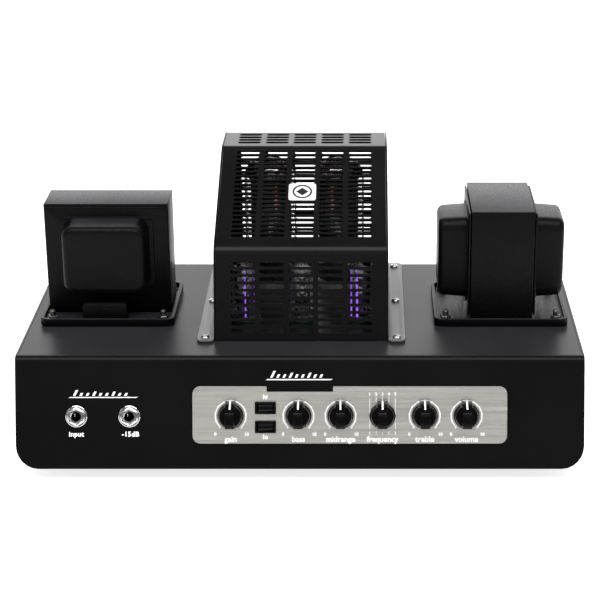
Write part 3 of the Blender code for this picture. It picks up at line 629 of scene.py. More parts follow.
# %% [markdown]
# ## Parts that keep their shape
# The sheet-metal shell, the covers, the boards and the housings are right as they are, so they only get a
# finish.

# %% Give the kept nodes their finishes
def give(finish, *kept):
    """Gives nodes of the working model their finish."""
    for node_name in kept:
        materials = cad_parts[node_name].data.materials
        materials.clear()
        materials.append(finish)


names = list(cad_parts)
give(chassis_paint, "chassis_shell", "bottom_cover")
give(plate_metal, "control_plate")
give(board_green, "control_board", "main_board", "preamp_valve_board")
give(switch_plastic, "mains_rocker_housing", "standby_rocker_housing", "impedance_switch_body")
give(switch_plastic, "input_jack", "pad_jack", "speaker_jack_one", "speaker_jack_two")
give(switch_plastic, "mains_inlet", "line_out_connector")
give(knob_plastic, "impedance_slider", "mains_rocker", "standby_rocker", "ground_lift_button")
give(ceramic, *[n for n in names if n.startswith("power_valve_socket")])
print("nodes in the frame:", len(names))

# %% [markdown]
# ## The cage's sheet
# The wrap is a flat sheet before it is a cage. One cell holds one round-ended slot: a circle stretched into
# a slot, then pulled out to a rectangle. Arrays repeat it over each face. Cutting hundreds of slots with
# booleans would be slow and leave ragged faces.

# %% Make one slotted zone
SLOT_LONG, SLOT_PITCH, COLUMNS, AROUND = 17.9, 21.3, 5, 32


def slotted_zone(start, rows, pitch, high):
    """Rows of slots in the flat sheet, from start along Y. Neighbouring cells share their border's points."""
    begin()
    bpy.ops.mesh.primitive_circle_add(vertices=AROUND, radius=high / 2 * MM)
    zone = bpy.context.object
    stretch = (SLOT_LONG - high) / 2 * MM
    for vertex in zone.data.vertices:
        if abs(vertex.co.x) > 1e-6:
            vertex.co.x += stretch if vertex.co.x > 0 else -stretch
    edit()
    bpy.ops.mesh.extrude_region_move(TRANSFORM_OT_translate={"value": (0, 0, 0)})
    bpy.ops.object.mode_set(mode="OBJECT")
    eighth = AROUND // 8
    half_x, half_y = SLOT_PITCH / 2 * MM, pitch / 2 * MM
    for inner, outer in zip(zone.data.vertices[:AROUND], zone.data.vertices[AROUND:]):
        angle = atan2(inner.co.y, abs(inner.co.x) - stretch) if abs(inner.co.x) > 1e-6 else radians(90)
        side = 1 if inner.co.x >= 0 else -1
        up = 1 if inner.co.y >= 0 else -1
        steps = round(abs(angle) / (pi / 2) * 2 * eighth)
        if abs(inner.co.x) <= 1e-6:
            outer.co = (0, up * half_y, 0)
        elif steps >= eighth:
            along = half_x if steps == eighth else abs(inner.co.x)
            outer.co = (side * along, up * half_y, 0)
        else:
            outer.co = (side * half_x, up * half_y * steps / eighth, 0)
    apply_modifier(zone, "ARRAY", count=rows, use_relative_offset=False, use_constant_offset=True,
                   constant_offset_displace=(0, pitch * MM, 0), use_merge_vertices=True, merge_threshold=1e-5)
    apply_modifier(zone, "ARRAY", count=COLUMNS, use_relative_offset=False, use_constant_offset=True,
                   constant_offset_displace=(SLOT_PITCH * MM, 0, 0), use_merge_vertices=True,
                   merge_threshold=1e-5)
    return shifted(zone, -SLOT_PITCH * (COLUMNS - 1) / 2, start + pitch / 2)


print("a slot is", SLOT_LONG, "long, one every", SLOT_PITCH)

# %% [markdown]
# The cage's side view gives four straight runs and three bends. A bend takes its arc's length out of the
# two runs beside it, so the flat length is worked out before anything is bent.

# %% Lay out the sheet
HALF_SHEET, SHEET_THICK = 61.8, 1.3
FOOT, KNEE, CREST, REAR = (29.1, 0.7), (46.4, 65.2), (149.4, 113.0), (192.0, 113.0)
BENDS = ((KNEE, 9.0, 8), (CREST, 4.0, 4), (REAR, 4.0, 8))
ZONES = ((4.41, 10, 5.38, 3.2), (7.48, 20, 4.84, 3.0), (5.2, 4, 7.4, 5.2), (10.2, 17, 5.34, 3.5))
corner_points = [FOOT, KNEE, CREST, REAR, (192.0, 0.4)]
slopes = [atan2(b[1] - a[1], b[0] - a[0]) for a, b in zip(corner_points, corner_points[1:])]
lengths = [hypot(b[0] - a[0], b[1] - a[1]) for a, b in zip(corner_points, corner_points[1:])]
zones, folds, reached, trim = [], [], 0.0, 0.0
for i, (start, rows, pitch, high) in enumerate(ZONES):
    zones.append((reached + start, reached + start + rows * pitch, rows, pitch, high))
    if i == len(BENDS):
        reached += lengths[i] - trim
        break
    _, radius, steps = BENDS[i]
    sharpness = slopes[i] - slopes[i + 1]
    next_trim = radius * tan(sharpness / 2)
    reached += lengths[i] - trim - next_trim
    folds.append((reached, radius * sharpness, sharpness, steps))
    reached += radius * sharpness
    trim = next_trim
sheet_length = reached
print("flat length", round(sheet_length, 1), "zones", len(zones), "bends", len(folds))

# %% [markdown]
# Plain strips join the slotted zones. They are pulled out of a zone's border edge, row by row, so that the
# sheet has a line of points wherever it will bend.

# %% Join the zones with plain strips
pieces = [slotted_zone(low, rows, pitch, high) for low, _, rows, pitch, high in zones]
stops = [0.0]
for place, arc_length, _, steps in folds:
    stops += [place + arc_length * k / steps for k in range(steps + 1)]
stops.append(sheet_length)
wrap = gather(pieces)
for _, end, *_ in zones:
    following = sorted([s for s in stops if s > end] + [low for low, *_ in zones if low > end])
    until = min([low for low, *_ in zones if low > end], default=sheet_length)
    here = end
    for stop in [s for s in following if s <= until + 1e-6]:
        pick(wrap, lambda c: abs(c.y - here) < 0.01, "VERT")
        bpy.ops.mesh.select_mode(type="EDGE")
        bpy.ops.mesh.extrude_region_move(TRANSFORM_OT_translate={"value": (0, (stop - here) * MM, 0)})
        bpy.ops.object.mode_set(mode="OBJECT")
        here = stop
pick(wrap, lambda c: abs(c.y - zones[0][0]) < 0.01, "VERT")
bpy.ops.mesh.select_mode(type="EDGE")
bpy.ops.mesh.extrude_region_move(TRANSFORM_OT_translate={"value": (0, -zones[0][0] * MM, 0)})
bpy.ops.mesh.select_all(action="SELECT")
bpy.ops.mesh.remove_doubles(threshold=2e-6)
for side in (-1, 1):
    border = side * SLOT_PITCH * COLUMNS / 2
    pick(wrap, lambda c: abs(c.x - border) < 0.01, "VERT")
    bpy.ops.mesh.select_mode(type="EDGE")
    outward = (side * HALF_SHEET - border) * MM
    bpy.ops.mesh.extrude_region_move(TRANSFORM_OT_translate={"value": (outward, 0, 0)})
    bpy.ops.object.mode_set(mode="OBJECT")
print("sheet faces:", len(wrap.data.polygons))

# %% [markdown]
# The sheet is folded over its three bends in small steps, as a press brake would do it, and then gets its
# thickness.

# %% Fold the sheet
along = [vertex.co.y / MM for vertex in wrap.data.vertices]


def fold_from(line, angle):
    """Turns everything beyond a line of the flat sheet about that line, wherever the line is by now."""
    hinge = next(v.co for v, s in zip(wrap.data.vertices, along) if abs(s - line) < 0.01).copy()
    pick(wrap, lambda c: False, "VERT")
    bpy.ops.object.mode_set(mode="OBJECT")
    for vertex, s in zip(wrap.data.vertices, along):
        vertex.select = s > line + 0.01
    bpy.ops.object.mode_set(mode="EDIT")
    bpy.ops.transform.rotate(value=angle, orient_axis="X", orient_type="GLOBAL",
                             center_override=(0, hinge.y, hinge.z))
    bpy.ops.object.mode_set(mode="OBJECT")


for place, arc_length, sharpness, steps in folds:
    for k in range(steps + 1):
        share = 0.5 if k in (0, steps) else 1.0
        fold_from(place + arc_length * k / steps, sharpness * share / steps)
wrap.data.transform(Matrix.Rotation(slopes[0], 4, "X"))
wrap = apply_modifier(wrap, "SOLIDIFY", thickness=SHEET_THICK * MM, offset=-1.0)
settle(wrap, "cage_wrap_sheet", cage_paint, on_deck(0, *FOOT), instead=("cage_wrap",))
print("cage sheet box:", [round(v, 4) for v in wrap.dimensions])

# %% [markdown]
# ## The cage's ends
# Each end is a flat sheet with soft edges. A flange at its foot takes three screws, whose heads are
# turned and then cut with a cross. The flange's light grey is a painted reflection of the bright backdrop on
# its black top.

# %% Model the ends, the flanges and the screws
side_outline = [(29.0, 0.5), (45.3, 61.4), (47.2, 64.2), (50.2, 66.8), (148.3, 112.4), (150.4, 113.0),
                (190.6, 113.0), (192.0, 111.6), (192.0, 0.5)]
on_end = Matrix(((0, 0, 1, 0), (1, 0, 0, 0), (0, 1, 0, 0), (0, 0, 0, 1)))
for name, side in (("left", -1), ("right", 1)):
    sheet = prism(side_outline, *sorted((side * 62.1, side * 63.4)), edge=0.35, segments=3)
    settle(sheet, f"cage_end_{name}", cage_paint, on_deck(0, 0) @ on_end,
           instead=(f"cage_side_{name}",))
    flange = slab(12.4, 168.6, 3.6, 0.4, 2.2, edge=0.4, segments=3)
    for back in (-79.9, -4.5, 74.0):
        hole = lathe([(2.0, -3), (2.0, 6)], 24)
        flange = combine(flange, shifted(hole, 0.0, back), "DIFFERENCE")
    # The flange's light grey is a painted reflection of the bright backdrop.
    settle(flange, f"cage_flange_{name}", flange_reflection_and_tab_grey, on_deck(side * 69.6, 110.5))

head = lathe([(1.5, -1.4), (1.5, 0.0), (3.05, 0.0), (3.15, 0.5), (2.9, 1.3), (2.2, 1.9), (1.0, 2.2)], 32)
for turn in (0.0, pi / 2):
    slot = block(3.6, 0.7, 1.1, 4.0)
    head = combine(head, shifted(slot, turn=turn), "DIFFERENCE")
turns = {"front": 0.4, "middle": 1.1, "rear": 0.8}
for name, side in (("left", -1), ("right", 1)):
    for place, back in (("front", 30.6), ("middle", 106.0), ("rear", 184.5)):
        settle(twin(head), f"cage_screw_head_{name}_{place}", zinc,
               on_deck(side * 69.7, back, 2.25, turns[place] * side), instead=(f"cage_screw_{name}_{place}",))
discard(head)
print("cage screws:", 2 * len(turns))

# %% [markdown]
# A small pale plaque sits in the middle of the sloping face. Its device is plain: a ring round a diamond.

# %% Model the plaque
slope = slopes[1]
plaque_place = Matrix.Translation((-0.3 * MM, 60.4 * MM, 0))
on_slope = on_deck(0, *KNEE) @ Matrix.Rotation(slope, 4, "X") @ plaque_place
settle(slab(20.4, 18.2, 2.2, 0.1, 1.1, edge=0.3), "plaque", ink, on_slope)
device = [lathe([(6.0, 1.05), (7.4, 1.05), (7.4, 1.3), (6.0, 1.3)], 48, ring=True),
          prism([(0, 4.2), (4.6, 0), (0, -4.2), (-4.6, 0)], 1.05, 1.3)]
settle(gather(device), "plaque_device", enamel, on_slope)
print("plaque on a slope of", round(slope * 180 / pi, 1), "degrees")

# %% [markdown]
# ## Valves
# A valve has a moulded base with pins, a thin glass bulb, dark plates between two mica discs and a silvery
# flash inside the dome. The bulb's wall has an inside and an outside, so that it bends light as real glass
# does.

# %% Model one power valve and copy it
def bulb(profile, wall):
    """A glass bulb with an inner surface one wall inside the outer one."""
    inner = [(max(r - wall, 0.2), z - (wall if r < 15 else 0)) for r, z in reversed(profile)]
    inner[-1] = (profile[0][0] - wall, profile[0][1])
    return lathe(profile + inner, 56, ring=True)


SEAT, POWER_ROW, SMALL_ROW = 7.3, 150.0, 72.0
power_glass = bulb([(17.9, SEAT + 12.4), (18.8, SEAT + 15), (19.3, SEAT + 20), (19.3, SEAT + 81),
                    (18.6, SEAT + 85.5), (16.6, SEAT + 90), (13.2, SEAT + 93.4), (8.6, SEAT + 95.8),
                    (3.2, SEAT + 96.9), (0.5, SEAT + 97)], 0.8)
power_base = lathe([(3.6, -5.0), (3.6, SEAT), (16.2, SEAT), (17.0, SEAT + 0.9), (17.0, SEAT + 11.4),
                    (18.0, SEAT + 12.0), (18.0, SEAT + 13.4), (17.0, SEAT + 14.0), (3.0, SEAT + 14.0)])
plates = [block(28.0, 12.5, 30.0, 88.0, 1.2)]
for x in (-13.2, 13.2):
    plates.append(shifted(block(2.4, 20.0, 32.0, 86.0, 0.6), x))
for z in range(38, 84, 9):
    plates.append(block(28.8, 13.3, z, z + 1.1, 0.3))
plates += [lathe([(0.9, 20.0), (0.9, 30.5)], 12) for _ in range(4)]
for stem, (x, y) in zip(plates[-4:], ((-6, -3), (6, -3), (-6, 3), (6, 3))):
    shifted(stem, x, y)
plates.append(lathe([(4.6, 96.0), (5.6, 96.0), (5.6, 96.8), (4.6, 96.8)], 32, ring=True))
power_plates = gather(plates)
discs = [slab(33.0, 26.0, 9.0, z, z + 0.5) for z in (28.6, 89.4)]
power_mica = gather(discs)
flash = lathe([(17.3, 90.8), (18.1, 91.6), (17.4, 93.8), (15.5, 97.4), (12.4, 100.2), (8.2, 102.3),
               (3.0, 103.1), (0.5, 103.15), (0.4, 102.8), (3.0, 102.6), (8.0, 101.7), (12.0, 99.6),
               (15.0, 96.9), (16.8, 93.6)], 48, ring=True)
power_pins = gather([shifted(lathe([(1.0, -3.6), (1.2, -3.0), (1.2, SEAT + 0.5)], 12),
                             11.2 * cos(pi / 4 * k), 11.2 * sin(pi / 4 * k)) for k in range(8)])
for name, turn in (("left", 0.12), ("right", -0.1)):
    node_name = f"power_valve_{name}"
    place = on_deck(middle(node_name).x / MM, POWER_ROW, 0.0, turn)
    settle(twin(power_glass), f"{node_name}_glass", glass, place, instead=(node_name,),
           smooth=60)
    settle(twin(power_base), f"{node_name}_base", phenolic, place)
    settle(twin(power_plates), f"{node_name}_plates", valve_metal, place)
    settle(twin(power_mica), f"{node_name}_mica", mica, place)
    settle(twin(flash), f"{node_name}_flash", getter_metal, place, smooth=60)
    settle(twin(power_pins), f"{node_name}_pins", brass, place)
    heater = shifted(block(1.2, 0.8, 64.0, 84.0, 0.2), 4.5 if name == "left" else -4.5, -6.9)
    settle(heater, f"{node_name}_heater", amber, place)
discard(power_glass, power_base, power_plates, power_mica, flash, power_pins)
print("power valves at", [round(middle(f"power_valve_{n}").x, 4) for n in ("left", "right")])

# %% [markdown]
# The three small valves in front are all glass, with nine pins and a nib on top where the glass was sealed.
# Thin glowing rods inside two of them are painted light: they stand in for violet light seen in the glass.

# %% Model one small valve and copy it
PIN_RING, PIN_STEP = 5.6, pi / 4.5
small_glass = bulb([(9.3, 3.4), (10.2, 4.4), (10.4, 7.0), (10.4, 45.0), (9.6, 48.6), (7.2, 51.6), (4.0, 53.4),
                    (1.6, 54.6), (1.0, 57.5), (0.4, 58.2)], 0.6)
anodes = [shifted(block(6.0, 7.4, 14.0, 40.0, 0.8), x) for x in (-3.6, 3.6)]
anodes += [block(14.0, 1.2, 20.0, 21.0, 0.3), block(14.0, 1.2, 33.0, 34.0, 0.3)]
anodes += [shifted(lathe([(0.35, 3.6), (0.35, 14.5)], 8), PIN_RING * cos(k * PIN_STEP),
                   PIN_RING * sin(k * PIN_STEP)) for k in range(9)]
anodes.append(lathe([(2.4, 46.6), (3.0, 46.6), (3.0, 47.1), (2.4, 47.1)], 24, ring=True))
small_anodes = gather(anodes)
small_mica = gather([lathe([(8.4, z), (8.9, z + 0.2), (8.4, z + 0.4)], 24) for z in (13.2, 40.6)])
small_flash = lathe([(9.0, 46.4), (9.3, 47.0), (8.4, 49.2), (6.2, 51.3), (3.6, 52.7), (1.6, 53.2),
                     (1.5, 52.9), (3.4, 52.2), (5.8, 50.8), (7.9, 48.8)], 32, ring=True)
small_pins = gather([shifted(lathe([(0.5, -1.8), (0.5, 3.6)], 8), PIN_RING * cos(k * PIN_STEP),
                             PIN_RING * sin(k * PIN_STEP)) for k in range(9)])
shield = lathe([(9.9, 2.9), (11.3, 2.9), (11.3, 6.6), (10.7, 6.6), (10.7, 3.7), (9.9, 3.7)], 40, ring=True)
for turn, name in ((0.3, "left"), (1.2, "middle"), (-0.4, "right")):
    node_name = f"preamp_valve_{name}"
    place = on_deck(middle(node_name).x / MM, SMALL_ROW, 0.0, turn)
    settle(twin(small_glass), f"{node_name}_glass", glass, place, instead=(node_name,),
           smooth=60)
    settle(twin(small_anodes), f"{node_name}_anodes", valve_metal, place)
    settle(twin(small_mica), f"{node_name}_mica", mica, place)
    settle(twin(small_flash), f"{node_name}_flash", getter_metal, place, smooth=60)
    settle(twin(small_pins), f"{node_name}_pins", brass, place)
    settle(twin(shield), f"{node_name}_collar", zinc, place)
discard(small_glass, small_anodes, small_mica, small_flash, small_pins, shield)

# Painted violet light: glowing rods inside two small valves.
glows = (("left", 0.6, 0.9), ("left", 7.8, 1.5), ("right", -6.6, 1.0), ("right", -2.4, 1.5))
for i, (name, x, wide) in enumerate(glows):
    rod = shifted(lathe([(wide / 2, 4.6), (wide / 2, 44.5)], 16), x, -5.6 if x < 7 else -4.2)
    valve_x = middle(f"preamp_valve_{name}").x / MM
    settle(rod, f"valve_glow_{i}", violet, on_deck(valve_x, SMALL_ROW))
print("small valves: 3, glowing strips:", len(glows))

# %% [markdown]
# ## Transformers
# Each transformer is a stack of laminations between two pressed bells, on a frame with a raised rim. A bell
# is three plates, one on the other: the flat rim, a low step and a deep box, which is drawn in a little at
# its face and rounded over.

# %% Define the bell
def bell(plate_wide, plate_tall, plate_low, box_wide, box_low, box_high, deep, step_wide):
    """A pressed bell in its own place: Z points away from the core, and Y is measured up from the deck."""
    flat = shifted(slab(plate_wide, plate_tall, 2.5, 0.3, 1.6, edge=0.4), 0, plate_low + plate_tall / 2)
    step = shifted(slab(step_wide, box_high - box_low + 2.0, 6.0, 1.2, 2.8, edge=0.8, segments=3), 0,
                   (box_low + box_high) / 2)
    cup = shifted(slab(box_wide, box_high - box_low, 9.0, 1.4, deep), 0, (box_low + box_high) / 2)
    pick(cup, lambda c: c.z > deep - 0.1)
    bpy.ops.transform.resize(value=(0.955, 0.955, 1.0))
    bpy.ops.mesh.select_mode(type="FACE")
    bpy.ops.mesh.bevel(offset=4.6 * MM, segments=6, profile=0.5)
    cup = done()
    return gather([flat, step, cup])


print("bell ready")

# %% [markdown]
# The output transformer has its bells in front and behind, and the power transformer, turned by a quarter,
# has them left and right. Each stack's place, width and depth come from the node that it stands for. The
# bells, the trays and the nuts have sizes of their own.

# %% Build both transformers
for name in ("output_transformer", "power_transformer"):
    centre = middle(f"{name}_core")
    low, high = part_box(f"{name}_core")
    wide, deep, tall = [(b - a) / MM for a, b in zip(low, high)]
    x, back = centre.x / MM, (centre.y - FRONT) / MM
    across = name == "output_transformer"
    ends = (("front", "rear") if across else ("left", "right"))
    core = block(wide - 0.6, deep - 0.6, 2.9, 87.9, 0.7, 3)
    settle(core, f"{name}_stack", crinkle, on_deck(x, back), instead=(f"{name}_core",))
    for side, end in ((-1, ends[0]), (1, ends[1])):
        long = wide if across else deep
        shape = bell(long - 2.0, 79.2, 7.0, 63.5 if across else 48.0, 24.5 if across else 15.0, 78.0, 23.2,
                     70.0 if across else 52.0)
        if across:
            facing = Matrix.Rotation(0 if side < 0 else pi, 4, "Z") @ Matrix.Rotation(pi / 2, 4, "X")
            place = on_deck(x, back + side * deep / 2) @ facing
        else:
            place = facing_side(x + side * wide / 2, back, 0.0, side)
        settle(shape, f"{name}_cover_{end}", crinkle, place, instead=(f"{name}_bell_{end}",))
    rim = slab(99.3, 83.0, 6.0, 0.3, 6.0, edge=0.6, segments=3)
    rim = combine(rim, slab(94.3, 78.0, 4.0, 2.6, 12.0), "DIFFERENCE")
    frame_x, frame_back = middle(f"{name}_frame").x / MM, (middle(f"{name}_frame").y - FRONT) / MM
    settle(rim, f"{name}_tray", crinkle, on_deck(frame_x, frame_back),
           instead=(f"{name}_frame",))
    nuts = []
    for sx, sy, spin in ((-41, -32.5, 0.2), (41, -32.5, 0.7), (-41, 32.5, 0.4), (41, 32.5, 0.9)):
        washer = lathe([(2.3, 2.7), (4.6, 2.7), (4.6, 3.3), (2.3, 3.3)], 24, ring=True)
        nut = lathe([(2.2, 3.3), (3.9, 3.3), (4.1, 3.9), (4.1, 5.6), (3.5, 6.3), (2.2, 6.3)], 6, ring=True)
        stud = lathe([(2.1, 2.7), (2.1, 9.6), (1.6, 10.3)], 20)
        nuts += [shifted(part, sx, sy, turn=0) for part in (washer, shifted(nut, turn=spin), stud)]
    settle(gather(nuts), f"{name}_nuts", valve_metal, on_deck(frame_x, frame_back))

clamp = block(33.0, 9.0, 2.6, 15.5, 1.0, 3)
settle(clamp, "output_transformer_clamp", crinkle, on_deck(-146.5, 67.0))
tabs = []
for x, back, lean in ((119.6, 66.5, 0.10), (114.4, 66.5, -0.05), (174.6, 66.5, 0.12)):
    tab = block(3.2, 1.0, 3.0, 17.5, 0.3)
    tab.data.transform(Matrix.Rotation(lean, 4, "Y"))
    tabs.append(shifted(tab, x, back))
settle(gather(tabs), "power_transformer_tabs", flange_reflection_and_tab_grey, on_deck(0, 0))
print("transformers done")

# %% [markdown]
# ## Knobs
# A knob is a fluted skirt with a bar across it. The bar's upper end slopes down to a pointer, and a white
# line is let into the slope. The six knobs are copies of one, each on its own shaft's body.

# %% Model one knob
skirt = lathe([(8.3, 2.0), (9.3, 2.2), (9.3, 3.6), (9.15, 4.1), (8.5, 5.2), (7.9, 7.9), (7.3, 8.5),
               (3.0, 8.6)], 72)
for k in range(24):
    groove = lathe([(0.42, 4.0), (0.42, 11.0)], 10)
    shifted(groove, 8.75 * cos(k * pi / 12 + 0.13), 8.75 * sin(k * pi / 12 + 0.13))
    skirt = combine(skirt, groove, "DIFFERENCE")
side_view = [(3.0, 10.9), (5.2, 10.9), (10.8, 7.6), (15.0, 3.2), (15.0, -7.7), (8.0, -8.5), (3.0, -8.5)]
bar = prism([(-z, y) for z, y in side_view], -3.3, 3.3)
bar.data.transform(Matrix.Rotation(pi / 2, 4, "Y"))
pick(bar, lambda c: c.z < 4.0, "VERT")
bpy.ops.transform.resize(value=(1.16, 1.0, 1.0))
bar = soften(done(), 0.35, 3)
knob = combine(skirt, bar)
shaft = lathe([(3.0, -8.9), (3.0, 6.0)], 32)
knob = combine(knob, shaft)
inlay_view = [(4.6, 10.98), (5.25, 10.98), (10.86, 7.66), (12.6, 5.84), (12.2, 5.5), (10.4, 7.2), (4.9, 10.5)]
inlay = prism([(-z, y) for z, y in inlay_view], -0.62, 0.62)
inlay.data.transform(Matrix.Rotation(pi / 2, 4, "Y"))
CONTROLS = ("gain", "bass", "midrange", "frequency", "treble", "volume")
KNOB_X = dict(zip(CONTROLS, (-49.3, -1.0, 29.0, 58.9, 89.0, 118.8)))
AXIS_DOWN, PLATE_OUT = 42.2, 1.5
for name, x in KNOB_X.items():
    place = on_panel(x, AXIS_DOWN)
    body = f"knob_{name}"
    settle(twin(knob), f"{name}_knob", knob_plastic, place, body, (body,), 30)
    settle(twin(inlay), f"{name}_pointer", ink, place, body)
discard(knob, inlay)
print("knobs:", len(KNOB_X))

# %% [markdown]
# ## Printing
# The scales, the numbers and the plain words are ink: thin meshes that lie on the plate and on the paint.

# %% Print the scales
INK_THICK = 0.05
low, high = PLATE_OUT, PLATE_OUT + INK_THICK
for name, x in KNOB_X.items():
    marks = []
    if name == "frequency":
        for i in range(5):
            away = (i - 2) * 4.55
            marks.append(shifted(lettering(str(i + 1), 3.0, low, high), away, 15.6))
            marks.append(shifted(block(0.4, 3.8 if i in (1, 2, 3) else 22.0, low, high), away,
                                 11.7 if i in (1, 2, 3) else 1.6))
            marks.append(shifted(block(0.4, 2.4, low, high), away, -12.2 - (0.5 if i == 2 else 0)))
    else:
        marks.append(strip(10.5, 0.8, 223, 360, low, high))
        marks.append(strip(10.5, 0.8, 0, 137, low, high))
        for k in range(11):
            angle = radians(137 - k * 27.4)
            size = 0.75 if k in (0, 10) else 0.35
            dot = lathe([(size, low), (size, high)], 16)
            reach = 11.3 if k in (0, 10) else 11.5
            marks.append(shifted(dot, reach * sin(angle), reach * cos(angle)))
        marks.append(shifted(lettering("0", 3.3, low, high), -11.0, -13.2))
        marks.append(shifted(lettering("10", 3.3, low, high), 11.2, -13.2))
    settle(gather(marks), f"scale_{name}", ink, on_panel(x, AXIS_DOWN))
    settle(lettering(name, 5.6, low, high, 1.0), f"word_{name}", ink, on_panel(x, 59.0))

print("scales:", len(KNOB_X))

# %% [markdown]
# The other words are plain names for the two switches and the two jacks. Slanted strokes over an underline
# stand where a maker would sign, and a thin lip runs along the front's lower edge.

# %% Print the words and the devices
for word, x, down, size, out in (("hi", -24.6, 28.7, 4.6, PLATE_OUT), ("lo", -24.6, 57.4, 4.6, PLATE_OUT),
                                 ("input", -159.6, 55.6, 4.9, 0.0), ("-15dB", -121.0, 55.6, 4.9, 0.0)):
    settle(lettering(word, size, out, out + INK_THICK, 1.06), f"word_{word.strip('-')}", ink,
           on_panel(x, down))


def signature(wide, tall):
    """Slanted strokes of different heights over an underline. It spells nothing."""
    slant, thick = 0.5 * tall, 0.035 * wide
    strokes = []
    for k, rise in enumerate((1.0, 0.62, 0.62, 0.8, 0.62, 0.62, 0.8, 0.62, 0.62)):
        x, foot, top = (0.05 + 0.093 * k) * wide, 0.26 * tall, rise * tall
        lean_by = slant * (top - foot) / tall
        strokes.append(prism([(x, foot), (x + thick, foot), (x + thick + lean_by, top), (x + lean_by, top)],
                             0, 0.25))
    underline = [(-0.02 * wide, 0), (0.96 * wide, 0), (wide, 0.12 * tall), (0.02 * wide, 0.12 * tall)]
    strokes.append(prism(underline, 0, 0.25))
    return shifted(gather(strokes), -wide / 2, -tall / 2)


settle(signature(47.0, 6.6), "front_device", ink, on_panel(0.0, 13.4))
settle(signature(49.0, 5.6), "jack_device", ink, on_panel(-139.7, 26.6))
lip = slab(352.0, 1.9, 0.6, 0.0, 0.35, edge=0.12)
settle(lip, "front_lip", chassis_paint, on_panel(1.4, 79.4))
print("printing done")

# %% [markdown]
# ## Switches and jacks
# A rocker tips between two flats inside a bevelled bezel. It rides on its own body, and its outline is a
# flat shape pulled out to the rocker's width.

# %% Model the rockers
def rocker(long, wide, proud):
    """A rocker with its length along X, tipped as at rest. Its pivot is at the origin."""
    shape = prism([(-long, -0.3), (-long, proud), (-0.6, proud - 0.42), (0.6, proud - 0.42), (long, proud),
                   (long, -0.3)], -wide, wide, 0.25, 2)
    shape.data.transform(Matrix.Rotation(pi / 2, 4, "X"))
    shape.data.transform(Matrix.Rotation(radians(9.0), 4, "Y"))
    return shape


def bezel(wide, tall, hole_wide, hole_tall, deep):
    """A switch's frame and housing, open in the middle."""
    frame_shape = slab(wide, tall, 0.7, 0.3, 1.7, edge=0.3, segments=3)
    frame_shape = combine(frame_shape, block(wide - 1.9, tall - 1.9, -deep, 0.9))
    return combine(frame_shape, block(hole_wide, hole_tall, -6.0, 4.0), "DIFFERENCE")


for name, down in (("high_boost", 36.4), ("low_boost", 50.0)):
    place = on_panel(-24.5, down, PLATE_OUT)
    settle(bezel(15.0, 8.8, 12.4, 6.2, 14.0), f"{name}_bezel", switch_plastic, place,
           instead=(f"{name}_rocker_housing",))
    pivot = place @ Matrix.Translation((0, 0, -1.8 * MM))
    settle(rocker(5.6, 2.7, 2.6), f"{name}_key", knob_plastic, pivot, f"{name}_rocker",
           (f"{name}_rocker",))
print("front rockers done")

# %% [markdown]
# A jack has a washer, a nut and a bright sleeve round its bore, with the contact spring showing inside. The
# nut is a hexagon trimmed by a turned shape, which rounds its corners as a lathe does.

# %% Model the jacks' nuts and sleeves
JACK_DOWN = 42.7


def jack_parts():
    """The metal of one jack, with its axis on Z."""
    washer = lathe([(5.0, 0.3), (7.3, 0.3), (7.65, 0.55), (7.65, 0.9), (7.3, 1.15), (5.0, 1.15)], 64, True)
    nut = lathe([(4.85, 1.15), (6.9, 1.15), (6.9, 2.6), (6.2, 3.0), (4.85, 3.0)], 6, ring=True)
    rounded = lathe([(3.0, 0.9), (6.6, 0.9), (6.75, 1.6), (6.5, 2.6), (5.9, 3.1), (3.0, 3.1)], 64)
    nut = combine(nut, rounded, "INTERSECT")
    sleeve = lathe([(3.5, -2.0), (4.7, -2.0), (4.7, 3.2), (4.4, 3.6), (3.8, 3.6), (3.5, 3.3)], 48, ring=True)
    spring = shifted(block(1.1, 2.4, -9.0, -3.2, 0.3), -1.9, 0.4)
    return [washer, nut, sleeve, spring]


for name, x in (("input_jack", -159.4), ("pad_jack", -121.6)):
    settle(gather(jack_parts()), f"{name}_metal", chrome, on_panel(x, JACK_DOWN),
           instead=(f"{name}_nut",))
for name, x in (("speaker_jack_one", 30.0), ("speaker_jack_two", -6.0)):
    settle(gather(jack_parts()), f"{name}_metal", chrome, on_back(x))
print("jack metalwork: 4")

# %% [markdown]
# ## The back
# The back carries the mains inlet, two rockers, two speaker jacks, an impedance switch, a line output and a
# ground switch. Their pins and plain words are modelled here.

# %% Model the back's fittings
blades = [shifted(block(1.9, 4.0, -12.0, -3.0, 0.3), x, y) for x, y in ((-6.5, -2.2), (6.5, -2.2), (0, 3.2))]
settle(gather(blades), "inlet_blades", brass, on_back(168.0))
line_pins = [shifted(lathe([(1.1, -11.5), (1.2, -11.0), (1.2, -4.0), (0.7, -3.2)], 20), x, y)
             for x, y in ((-4.4, 1.0), (4.4, 1.0), (0.0, -5.0))]
settle(gather(line_pins), "line_out_pins", brass, on_back(-108.0))

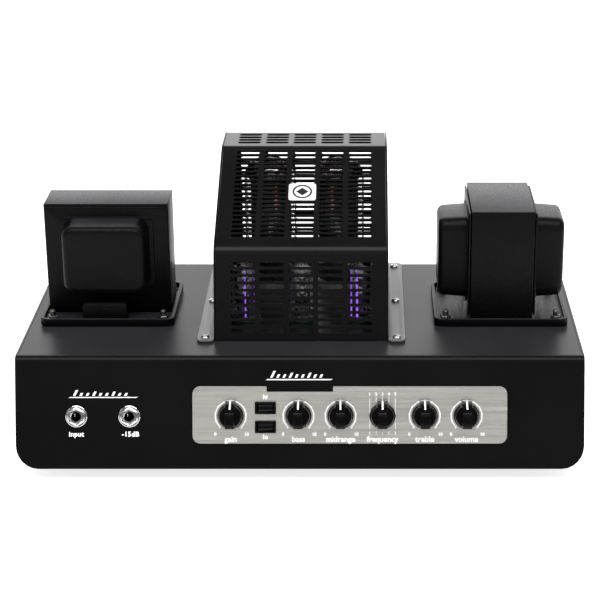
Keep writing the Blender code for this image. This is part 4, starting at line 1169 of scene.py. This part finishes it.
WORD_SIZE, WORD_DOWN = 4.2, 19.0
rear_words = {"mains": 128, "standby": 98, "speaker": 12, "line out": -108, "4   8": -52, "lift": -146,
              "mains in": 168}
for word, x in rear_words.items():
    word_name = "rear_word_" + word.replace(" ", "_")
    settle(lettering(word, WORD_SIZE, 0.0, INK_THICK), word_name, ink, on_back(x, WORD_DOWN))
print("words on the back:", len(rear_words))

# %% [markdown]
# Pan-head screws hold the shell to the cover. The feet are turned rubber rings, each with its screw inside.

# %% Model the screws and the feet
pan = lathe([(1.2, -0.4), (1.2, 0.05), (2.9, 0.05), (2.9, 0.5), (2.5, 1.1), (1.5, 1.4)], 32)
for turn in (0.0, pi / 2):
    cross = block(3.0, 0.6, 0.7, 3.0)
    pan = combine(pan, shifted(cross, turn=turn), "DIFFERENCE")
for i, (x, down) in enumerate(((-192, 10), (-60, 9), (70, 9), (192, 10), (-192, 68), (192, 68))):
    settle(twin(pan), f"rear_screw_{i}", zinc, on_back(x, down, -1.1))
discard(pan)

feet = [n for n in names if n.startswith("foot_")]
for name in feet:
    low_corner, high_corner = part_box(name)
    radius = (high_corner.x - low_corner.x) / 2 / MM
    tall = (high_corner.z - low_corner.z) / MM
    foot = lathe([(3.2, 3.0), (3.2, 0.0), (radius - 2.2, 0.0), (radius - 1.2, 0.35), (radius - 0.7, 1.2),
                  (radius, tall - 0.6), (radius - 0.4, tall), (2.0, tall), (2.0, 3.0)], 56, ring=True)
    centre = middle(name)
    place = Matrix.Translation((centre.x, centre.y, low_corner.z))
    settle(foot, f"{name}_rubber", rubber, place, instead=(name,))
    washer = lathe([(1.2, 2.2), (3.0, 2.2), (3.1, 3.0), (1.2, 3.0)], 28)
    settle(washer, f"{name}_screw", zinc, place)
print("feet:", len(feet))

# %% [markdown]
# ## Floor and last measures
# The floor is pale paper on a lit table, so it stays white and the shadow is faint.

# %% Finish
floor_finish = new_finish("floor_paper", (0.86, 0.86, 0.86), 0.85, specular=0.1)
lit_from_below = floor_finish.node_tree.nodes["Principled BSDF"]
lit_from_below.inputs["Emission Color"].default_value = (1.0, 1.0, 1.0, 1.0)
lit_from_below.inputs["Emission Strength"].default_value = 0.75
paper = grain(floor_finish, object_space(floor_finish), 60.0, 4.0)
bump(floor_finish, paper, "Fac", 0.03, 0.001)
floor.data.materials.append(floor_finish)
